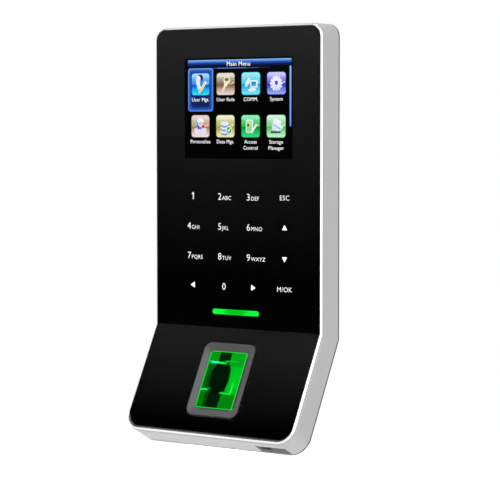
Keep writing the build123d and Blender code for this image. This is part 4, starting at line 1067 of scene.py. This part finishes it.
class TERMINAL_OT_screen(bpy.types.Operator):
    """Lit picture of the display: header, eight menu icons and a scroll bar"""

    bl_idname = "terminal.screen"
    bl_label = "Display picture"

    def execute(self, context):
        sizes, panel = context.scene.terminal_screen, context.scene.terminal_panel
        picture = Picture(PICTURE_LIFT - panel.print_depth)
        middle = GLASS_HIGH.y - sizes.drop
        top = middle + sizes.height / 2
        picture.bar(0, middle, sizes.window_width, sizes.window_height, (0.0004, 0.0004, 0.0006))
        self.draw_header(picture, top, sizes.width - 0.8 * MM)
        self.draw_tile(picture, MENU_COLUMNS[0], MENU_ROWS[0] - 2.1 * MM)
        for index, (draw, title, *tones) in enumerate(MENU):
            x, y = MENU_COLUMNS[index % 4], MENU_ROWS[index // 4]
            self.draw_icon(picture, x, y, sizes.icon, [hue(*tone) for tone in tones])
            picture.place(x, y, sizes.icon)
            draw(picture)
            picture.place(0, 0, 1)
            for row, line in enumerate(title.split("\n")):
                picture.words(line, x, y - (6.5 + 2.3 * row) * MM, 1.45 * MM, BRIGHT)
        bar_x, bar_top, bar_height = 24.45 * MM, MENU_ROWS[0] + 6.5 * MM, 22.6 * MM
        picture.bar(
            bar_x, bar_top - bar_height / 2, 0.8 * MM, bar_height,
            hue(140, 186, 252), hue(96, 150, 236), 0.3 * MM,
        )
        piece = join("display_picture", picture.pieces)
        seat(piece, UPPER)
        settle(piece, "terminal", "display_black", lit_picture("display_light", sizes.strength))
        return {"FINISHED"}

    def draw_header(self, picture, top, wide):
        """Title on a blue strip that darkens downwards, over a line that fades out at both ends."""
        x, height = 0.55 * MM, 3.05 * MM
        steps = (
            (0.00, hue(146, 200, 255)), (0.14, hue(100, 158, 244)), (0.36, hue(34, 80, 180)),
            (0.62, hue(12, 26, 78)), (0.95, hue(0, 2, 14)),
        )
        for (start, upper), (end, lower) in zip(steps, steps[1:]):
            picture.bar(x, top - (start + end) / 2 * height, wide, (end - start) * height, upper, lower)
        for reach, tone in ((0.74, hue(20, 44, 100)), (0.52, hue(50, 96, 190)), (0.28, hue(92, 150, 240))):
            picture.bar(x - 0.07 * wide, top - 1.06 * height, reach * wide, 0.26 * MM, tone)
        picture.words("Main Menu", x - 0.2 * MM, top - 0.80 * height, 1.75 * MM, BRIGHT)

    def draw_tile(self, picture, x, y):
        """Blue tile round the chosen icon, bright at its border and darkest in its lower middle."""
        wide, high = 11.9 * MM, 16.5 * MM
        steps = (
            (0.0, hue(128, 178, 248), hue(90, 150, 240)), (0.5, hue(70, 124, 220), hue(60, 112, 214)),
            (1.3, hue(44, 92, 190), hue(46, 84, 176)), (2.3, hue(32, 72, 164), hue(30, 60, 140)),
            (3.6, hue(24, 54, 130), hue(20, 34, 84)),
        )
        for inset, upper, lower in steps:
            picture.bar(x, y, wide - inset * MM, high - inset * MM, upper, lower, 1.1 * MM)

    def draw_icon(self, picture, x, y, icon, tones):
        """Glossy tile of an icon: light above a bend, deep colour below it, bright at its foot."""
        top, above, below, foot = tones
        dark = tuple(0.4 * part for part in below)
        picture.bar(x, y, icon, icon, above, dark, 1.3 * MM)
        inner = icon - 0.35 * MM
        picture.bar(x, y + 0.02 * icon, inner, 0.92 * icon, top, below, 1.2 * MM)
        bend = mix(below, foot, 0.45)
        for rise, high, upper, lower, corner in (
            (0.13, 0.34, mix(top, above, 0.5), above, 0.0),
            (-0.13, 0.22, below, bend, 0.0),
            (-0.33, 0.28, bend, foot, 1.0 * MM),
            (-0.27, 0.12, bend, mix(below, foot, 0.7), 0.0),
        ):
            picture.bar(x, y + rise * icon, inner, high * icon, upper, lower, corner)
        picture.bar(
            x + 0.30 * icon, y + 0.01 * icon, 0.06 * icon, 0.32 * icon, top, above, 0.02 * icon, turn=-66
        )


KEYS = (
    (("1", ""), ("2", "ABC"), ("3", "DEF"), "ESC"),
    (("4", "GHI"), ("5", "JKL"), ("6", "MNO"), 0),
    (("7", "PQRS"), ("8", "TUV"), ("9", "WXYZ"), 180),
    (90, ("0", ""), -90, "M/OK"),
)


KEY_SHIFTS = (0.35 * MM, 0.65 * MM, -0.2 * MM, 0.15 * MM)


class TERMINAL_OT_legends(bpy.types.Operator):
    """Legends of the sixteen touch keys, lit from behind"""

    bl_idname = "terminal.legends"
    bl_label = "Key legends"

    def execute(self, context):
        sizes = context.scene.terminal_keys
        centre = (KEYS_LOW + KEYS_HIGH) / 2
        lamp = Vector((3.0, 1.2, 0)) * MM
        pitch_x = (KEYS_HIGH.x - KEYS_LOW.x - lamp.x) / 3
        pitch_y = (KEYS_HIGH.y - KEYS_LOW.y - lamp.y) / 3
        depth = context.scene.terminal_panel.print_depth
        pieces = []
        for row, keys in enumerate(KEYS):
            for column, key in enumerate(keys):
                x = centre.x + (column - 1.5) * pitch_x + KEY_SHIFTS[column]
                y = centre.y + (1.5 - row) * pitch_y
                if isinstance(key, str):
                    pieces.append(self.put_text(key, sizes.word, x, y - sizes.word / 2, "CENTER"))
                elif isinstance(key, tuple):
                    pieces.extend(self.put_digit(sizes, key, x, y))
                else:
                    pieces.append(self.put_arrow(sizes.arrow, x, y, key))
        piece = join("key_legends", pieces)
        shift(piece, z=LEGEND_LIFT - depth)
        seat(piece, UPPER)
        settle(piece, "terminal", "white_lamp", lit_print("legend_light", sizes.glow, sizes.strength))
        return {"FINISHED"}

    def put_text(self, text, height, x, y, align):
        piece = self.make_one(height) if text == "1" else lettering(text, height, align, LEGEND_WEIGHT)
        shift(piece, x, y)
        return piece

    def make_one(self, height):
        """The digit 1 with its flag, which the built-in letters lack."""
        stem = outline("stem", 0.15 * height, height, 0, (0, height / 2))
        flag = outline("flag", 0.13 * height, 0.36 * height, 0)
        edit(flag, "VERT")
        spin(-58)
        move(-0.13 * height, 0.83 * height)
        done()
        return join("one", [stem, flag])

    def put_digit(self, sizes, key, x, y):
        """A digit, and its small letters to the right on the same line."""
        digit, letters = key
        foot = y - sizes.digit / 2
        if not letters:
            return [self.put_text(digit, sizes.digit, x, foot, "CENTER")]
        start = x - 2.9 * MM
        return [
            self.put_text(digit, sizes.digit, start, foot, "LEFT"),
            self.put_text(letters, sizes.letter, start + 2.05 * MM, foot, "LEFT"),
        ]

    def put_arrow(self, width, x, y, turn):
        bpy.ops.mesh.primitive_circle_add(vertices=3, radius=width / sqrt(3), fill_type="NGON")
        piece = bpy.context.object
        edit(piece, "VERT")
        bpy.ops.mesh.bevel(offset=0.12 * width, segments=2, affect="VERTICES")
        spin(turn)
        move(x, y)
        done()
        return piece


class TERMINAL_OT_panel(bpy.types.Operator):
    """Clear bent front panel with rounded edges, and the black print behind it"""

    bl_idname = "terminal.panel"
    bl_label = "Front panel"

    def execute(self, context):
        sizes, looks = context.scene.terminal_panel, finishes()
        glass = self.bent_sheet("clear_front", sizes, 0.0, 0.0, -GLASS_BACK)
        round_edges(glass, sizes.edge_rounding, 3, 50.0)
        smooth(glass, 25.0, weighted=True)
        settle(glass, "terminal", "clear_panel", looks["clear_panel"], "front_glass")
        film = self.bent_sheet("black_backing", sizes, sizes.print_depth, 0.02 * MM, 0.2 * MM)
        smooth(film, 25.0)
        settle(film, "terminal", "black_print", looks["black_print"], "mask_film")
        return {"FINISHED"}

    def bent_sheet(self, name, sizes, depth, inset, thickness):
        """A sheet that follows both leaves, with a hole for the finger window's frame."""
        width = GLASS_HIGH.x - GLASS_LOW.x - 2 * inset
        height = GLASS_HIGH.y - inset
        bpy.ops.mesh.primitive_plane_add(size=1, location=(0, 0, 0))
        piece = named(name)
        edit(piece, "VERT")
        stretch(width, height, 1)
        move(y=height / 2)
        pick(piece, "EDGE", lambda edge: all(abs(v.co.y) < 1e-6 for v in edge.verts))
        slope = -GLASS_FOOT - inset
        extrude(y=-slope * cos(LEAN), z=slope * sin(LEAN))
        for radius, chosen in (
            (sizes.top_corner, lambda v: v.co.y > height - 1e-6),
            (sizes.low_corner, lambda v: v.co.z > 1e-6),
        ):
            pick(piece, "VERT", chosen)
            bpy.ops.mesh.bevel(offset=radius, segments=10, affect="VERTICES", clamp_overlap=False)
        face_out()
        done()
        if piece.data.polygons[0].normal.z < 0:
            edit(piece)
            bpy.ops.mesh.flip_normals()
            done()
        modify(piece, "SOLIDIFY", thickness=thickness, offset=-1.0, use_even_offset=True)
        seat(piece, UPPER)
        cutter = block(
            "hole", BEZEL_WIDTH + 2 * HOLE_GAP, BEZEL_HEIGHT + 2 * HOLE_GAP, 6 * MM,
            BEZEL_CORNER + HOLE_GAP, (BEZEL_MIDDLE.x, BEZEL_MIDDLE.y), 3 * MM,
        )
        seat(cutter, LOWER)
        modify(piece, "BOOLEAN", object=cutter, operation="DIFFERENCE", solver="EXACT")
        only(cutter)
        bpy.ops.object.delete()
        if depth:
            self.push_in(piece, depth)
        return piece

    def push_in(self, piece, depth):
        """Move a bent sheet inwards by the same depth on both leaves."""
        fold = depth * tan(LEAN / 2)
        only(piece)
        piece.matrix_world = Matrix.Translation((0, depth, -fold))
        bpy.ops.object.transform_apply(location=True, rotation=True, scale=True)


BEZEL_WIDTH, BEZEL_HEIGHT, BEZEL_CORNER = 23.5 * MM, 29.7 * MM, 3.0 * MM
HOLE_GAP = 0.08 * MM  # between the frame and the hole for it, all round
PANE_GAP = 0.5 * MM  # between the window and the foot of the frame's slopes, both sides together
LEDGE = 0.18 * MM  # flat strip at the foot of the slopes
FRAME_BACK = -2.0 * MM  # behind the panel's face
BEZEL_MIDDLE = (BEZEL_LOW + BEZEL_HIGH) / 2
WELL_MIDDLE = (WELL_LOW + WELL_HIGH) / 2


class TERMINAL_OT_scanner(bpy.types.Operator):
    """Frame of the finger window with its sloping sides, and the window lit green"""

    bl_idname = "terminal.scanner"
    bl_label = "Finger window"

    def execute(self, context):
        sizes, looks = context.scene.terminal_scanner, finishes()
        self.make_frame(sizes, looks)
        self.make_window(sizes)
        return {"FINISHED"}

    def make_frame(self, sizes, looks):
        front, back = BEZEL_HIGH.z, FRAME_BACK
        centre = (BEZEL_MIDDLE.x, BEZEL_MIDDLE.y)
        pane = (WELL_HIGH.x - WELL_LOW.x, WELL_HIGH.y - WELL_LOW.y)
        piece = outline("window_frame", BEZEL_WIDTH, BEZEL_HEIGHT, sizes.corner, centre, front)
        edit(piece)
        bpy.ops.mesh.inset(thickness=sizes.lip)
        narrow = (pane[0] + PANE_GAP) / (BEZEL_WIDTH - 2 * sizes.lip)
        short = (pane[1] + PANE_GAP) / (BEZEL_HEIGHT - 2 * sizes.lip)
        extrude(z=-sizes.slope)
        stretch(narrow, short, 1, (*centre, 0))
        bpy.ops.mesh.inset(thickness=LEDGE)
        extrude(z=back - front + sizes.slope)
        bpy.ops.mesh.delete(type="FACE")
        pick(
            piece, "EDGE",
            lambda edge: edge.is_boundary and all(abs(v.co.z - front) < SLACK for v in edge.verts),
        )
        extrude(z=back - front)
        pick(piece, "EDGE", lambda edge: edge.is_boundary)
        bpy.ops.mesh.bridge_edge_loops()
        face_out()
        done()
        round_edges(piece, sizes.rounding, 2, 28.0)
        smooth(piece, 14.0)
        seat(piece, LOWER)
        settle(piece, "terminal", "grey_moulding", looks["grey_moulding"], "scanner_bezel")

    def make_window(self, sizes):
        centre = (WELL_MIDDLE.x, WELL_MIDDLE.y)
        pane = (WELL_HIGH.x - WELL_LOW.x, WELL_HIGH.y - WELL_LOW.y)
        piece = block(
            "finger_window", pane[0], pane[1], 4.0 * MM, sizes.pane_corner, centre, WELL_HIGH.z, 6
        )
        round_edges(piece, 0.15 * MM, 3, 50.0)
        smooth(piece, 30.0, weighted=True)
        seat(piece, LOWER)
        place = LOWER @ Vector((*centre, WELL_HIGH.z))
        light = window_light("window_light", sizes.glow, sizes.strength, place, (pane[0] / 2, pane[1] / 2))
        settle(piece, "terminal", "prism_glass", light, "scanner_prism")


class TERMINAL_OT_status_light(bpy.types.Operator):
    """Green status light in its slot of the black print"""

    bl_idname = "terminal.status_light"
    bl_label = "Status light"

    def execute(self, context):
        sizes = context.scene.terminal_light
        middle = (LIGHT_LOW + LIGHT_HIGH) / 2 - Vector((sizes.shift, 0, 0))
        depth = context.scene.terminal_panel.print_depth
        piece = block(
            "status_light_bar", sizes.width, sizes.height, 0.02 * MM, 0.49 * sizes.height,
            (middle.x, middle.y), -depth + 0.04 * MM,
        )
        seat(piece, UPPER)
        place = UPPER @ Vector((middle.x, middle.y, -depth))
        reach = (0.5 * sizes.width, 0.1, 1.1 * sizes.height)
        glow = lit_print("status_glow", sizes.glow, sizes.strength, place, reach, sizes.middle)
        settle(piece, "terminal", "milky_guide", glow)
        return {"FINISHED"}


RIM_DEPTH = 1.4 * MM  # behind the panel's face
RIM_LEAN = 0.22  # least share of a rim face's normal that points to the front


class TERMINAL_OT_band(bpy.types.Operator):
    """Silver band with its polished front rim"""

    bl_idname = "terminal.band"
    bl_label = "Silver band"

    def execute(self, context):
        sizes, looks = context.scene.terminal_body, finishes()
        shell = softened("body_shell", "silver_band", sizes.shell_rounding, 3, 25.0)
        back = extent("body_shell", UPPER)[0].z + sizes.back_strip_width
        for leaf in (UPPER, LOWER):
            edit(shell)
            bpy.ops.mesh.bisect(
                plane_co=leaf @ Vector((0, 0, back)), plane_no=leaf.to_3x3() @ Vector((0, 0, 1))
            )
            done()
        tones = [looks["silver_paint"], looks["polished_rim"], looks["black_moulding"]]
        settle(shell, "terminal", "silver_paint", tones, "body_shell")
        upper, lower = UPPER.inverted(), LOWER.inverted()
        for face in shell.data.polygons:
            spots = upper @ face.center, lower @ face.center
            # Faces near the band's back edge get the black moulding: a black strip along the back edge.
            if min(spot.z for spot in spots) < back:
                face.material_index = 2
            leaf, spot = (lower, spots[1]) if spots[0].y < 0 else (upper, spots[0])
            if spot.z > -RIM_DEPTH and (leaf.to_3x3() @ face.normal).z > RIM_LEAN:
                face.material_index = 1
        return {"FINISHED"}


class TERMINAL_OT_rear(bpy.types.Operator):
    """Rear cover, wall plate and the small parts that show at the back"""

    bl_idname = "terminal.rear"
    bl_label = "Rear parts"

    def execute(self, context):
        sizes, looks = context.scene.terminal_body, finishes()
        cover = softened("rear_cover", "rear_moulding", sizes.cover_rounding, 2, 40.0)
        settle(cover, "terminal", "black_moulding", looks["black_moulding"], "rear_cover")
        plate = softened("wall_plate", "hanging_plate", sizes.plate_rounding, 3, 40.0)
        settle(plate, "wall_plate", "zinc_plate", looks["zinc_plate"], "wall_plate")
        for node, body, rounding in (
            ("cover_screws", "terminal", 0.06), ("security_screw", "wall_plate", 0.08),
            ("window_seal", "terminal", 0.25), ("tamper_plunger", "tamper_plunger", 0.0),
            ("wiring_headers", "terminal", 0.12), ("port_shell", "terminal", 0.08),
            ("port_tongue", "terminal", 0.12),
        ):
            slot = SLOTS[node]
            piece = softened(node, "soft_" + node, rounding * MM, 2, 40.0)
            settle(piece, body, slot, looks[slot], node)
        self.compress_spring(looks)
        return {"FINISHED"}

    def compress_spring(self, looks):
        """A softened copy of the tamper spring, with a mesh of its own."""
        slot = SLOTS["tamper_spring"]
        spring = softened("tamper_spring", "soft_tamper_spring", 0.0)
        settle(spring, "terminal", slot, looks[slot], "tamper_spring")
        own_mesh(spring)


SLOTS = {row["node"]: row["material_slot"] for row in frame["record"]["subparts"]}


class TERMINAL_OT_finishes(bpy.types.Operator):
    """Procedural finishes on the CAD parts that stay"""

    bl_idname = "terminal.finishes"
    bl_label = "Finishes"

    def execute(self, context):
        looks = finishes()
        for node, part in frame["nodes"].items():
            if part.hide_render or node not in SLOTS:
                continue
            for place in part.material_slots:
                place.material = looks[SLOTS[node]]
        return {"FINISHED"}


# Brightness of the room in front by height, from straight down (-1) to straight up (1), ends first.
ROOM_STOPS = (
    (-1.0, 0.50), (1.0, 0.2), (-0.12, 0.02), (-0.035, 0.004), (0.02, 0.02), (0.07, 0.2), (0.35, 0.30),
    (0.50, 0.05), (0.55, 0.004), (0.67, 0.004), (0.74, 1.0), (0.85, 1.0), (0.90, 0.2),
)
# Soft round lamps in that room: direction, cosines of their edge and core, brightness. The first three
# keep the rim bright round its corners, and the last lights the left side of the finger window's frame.
ROOM_LAMPS = (
    ((-0.16, -0.25, 0.95), 0.95, 0.985, 1.0),
    ((0.63, -0.53, 0.57), 0.88, 0.95, 1.0),
    ((0.42, -0.88, -0.24), 0.88, 0.95, 1.0),
    ((0.06, -0.66, 0.75), 0.94, 0.985, 4.0),
)
# Area lamps, aimed at the origin: name, place, size, power.
STUDIO_LAMPS = (
    ("key_right", (1.05, -0.62, 0.25), (0.7, 1.1), 3.8),
    ("fill_left", (-1.30, 0.10, 0.30), (0.7, 1.1), 2.2),
    ("top_glow", (0.1, 0.25, 1.25), (1.2, 0.9), 3.0),
    ("low_front", (0.35, -0.9, -0.45), (0.9, 0.3), 1.0),
    ("low_left", (-0.40, -0.46, -0.29), (0.3, 0.16), 0.25),
)


class TERMINAL_OT_stage(bpy.types.Operator):
    """Pale floor, soft studio light and the camera"""

    bl_idname = "terminal.stage"
    bl_label = "Stage"

    def execute(self, context):
        stage = context.scene.terminal_stage
        self.make_floor(stage)
        self.make_camera(stage)
        self.make_world(context.scene)
        self.make_lights()
        context.scene.view_settings.view_transform = "Standard"
        context.scene.view_settings.look = "None"
        return {"FINISHED"}

    def make_floor(self, stage):
        bpy.ops.object.select_all(action="DESELECT")
        bpy.ops.mesh.primitive_circle_add(vertices=96, radius=stage.floor_radius, fill_type="NGON")
        floor = named("pale_floor")
        shift(floor, z=CAD_BOX[0][2] - stage.floor_drop)
        material, tree, shader, place = blank(
            "floor_paper", Roughness=0.85, Emission_Color=(1, 1, 1, 1)
        )
        eye = put(tree, "LightPath").outputs["Is Camera Ray"]
        tree.links.new(sum_up(tree, "MULTIPLY", eye, 0.75), shader.inputs["Emission Strength"])
        paper = noise(tree, place, 60.0, 4.0)
        tone = span(tree, paper, 0.3, 0.7, 0.86, 0.9, "LINEAR")
        grey = put(tree, "CombineColor", {0: tone, 1: tone, 2: tone}).outputs[0]
        tree.links.new(grey, shader.inputs["Base Color"])
        floor.data.materials.append(material)

    def make_camera(self, stage):
        bpy.ops.object.camera_add(
            location=stage.camera_place, rotation=(pi / 2 + stage.camera_pitch, 0, stage.camera_yaw)
        )
        camera = bpy.context.object
        camera.name = "camera"
        camera.data.lens = stage.lens
        camera.data.sensor_width = 36.0
        camera.data.clip_start = 0.01
        bpy.context.scene.camera = camera

    def make_world(self, scene):
        """Pale paper behind, a darker room in front with soft lamps, and white for the camera."""
        world = bpy.data.worlds.new("studio")
        world.use_nodes = True
        scene.world = world
        tree = world.node_tree
        tree.nodes.clear()
        way = put(tree, "TexCoord").outputs["Generated"]
        parts = put(tree, "SeparateXYZ", {0: way}).outputs
        ramp = put(tree, "ValToRGB", {0: span(tree, parts[2], -1.0, 1.0, 0.0, 1.0, "LINEAR")})
        track = ramp.color_ramp.elements
        for index, (height, tone) in enumerate(ROOM_STOPS):
            stop = track[index] if index < 2 else track.new((height + 1) / 2)
            stop.color = (tone, tone, tone, 1)
        behind = span(tree, parts[1], -0.15, 0.35)
        light = blend_colours(tree, behind, ramp.outputs[0], (0.74, 0.74, 0.745, 1))
        for aim, edge, core, tone in ROOM_LAMPS:
            toward = put(tree, "VectorMath", {0: way, 1: aim}, operation="DOT_PRODUCT").outputs["Value"]
            light = blend_colours(tree, span(tree, toward, edge, core), light, (tone, tone, tone, 1))
        seen = put(tree, "Background", {0: (1, 1, 1, 1), 1: 1.0}).outputs[0]
        lit = put(tree, "Background", {0: light, 1: 1.0}).outputs[0]
        eye = put(tree, "LightPath").outputs["Is Camera Ray"]
        mixed = put(tree, "MixShader", {0: eye, 1: lit, 2: seen}).outputs[0]
        put(tree, "OutputWorld", {0: mixed})

    def make_lights(self):
        for name, spot, reach, power in STUDIO_LAMPS:
            bpy.ops.object.light_add(type="AREA", location=spot)
            lamp = bpy.context.object
            lamp.name = name
            lamp.data.shape = "RECTANGLE"
            lamp.data.size, lamp.data.size_y = reach
            lamp.data.energy = power
            lamp.rotation_euler = (-Vector(spot)).to_track_quat("-Z", "Y").to_euler()


class VIEW3D_PT_terminal(bpy.types.Panel):
    """Sidebar panel that lists the terminal's pieces and their settings"""

    bl_idname = "VIEW3D_PT_terminal"
    bl_label = "Fingerprint terminal"
    bl_space_type = "VIEW_3D"
    bl_region_type = "UI"
    bl_category = "Terminal"

    def draw(self, context):
        for name in SETTINGS:
            box = self.layout.box()
            settings = getattr(context.scene, name)
            for key in settings.bl_rna.properties.keys():
                if key not in {"rna_type", "name"}:
                    box.prop(settings, key)
        for kind in OPERATORS:
            self.layout.operator(kind.bl_idname)


OPERATORS = (
    TERMINAL_OT_band,
    TERMINAL_OT_rear,
    TERMINAL_OT_panel,
    TERMINAL_OT_scanner,
    TERMINAL_OT_status_light,
    TERMINAL_OT_screen,
    TERMINAL_OT_legends,
    TERMINAL_OT_finishes,
    TERMINAL_OT_stage,
)


def register():
    for kind in (*SETTINGS.values(), *OPERATORS, VIEW3D_PT_terminal):
        bpy.utils.register_class(kind)
    for name, kind in SETTINGS.items():
        setattr(bpy.types.Scene, name, bpy.props.PointerProperty(type=kind))


def unregister():
    for name in SETTINGS:
        delattr(bpy.types.Scene, name)
    for kind in (VIEW3D_PT_terminal, *reversed(OPERATORS), *SETTINGS.values()):
        bpy.utils.unregister_class(kind)


def main():
    register()
    for kind in OPERATORS:
        group, name = kind.bl_idname.split(".")
        getattr(getattr(bpy.ops, group), name)()


if __name__ == "__main__":
    main()
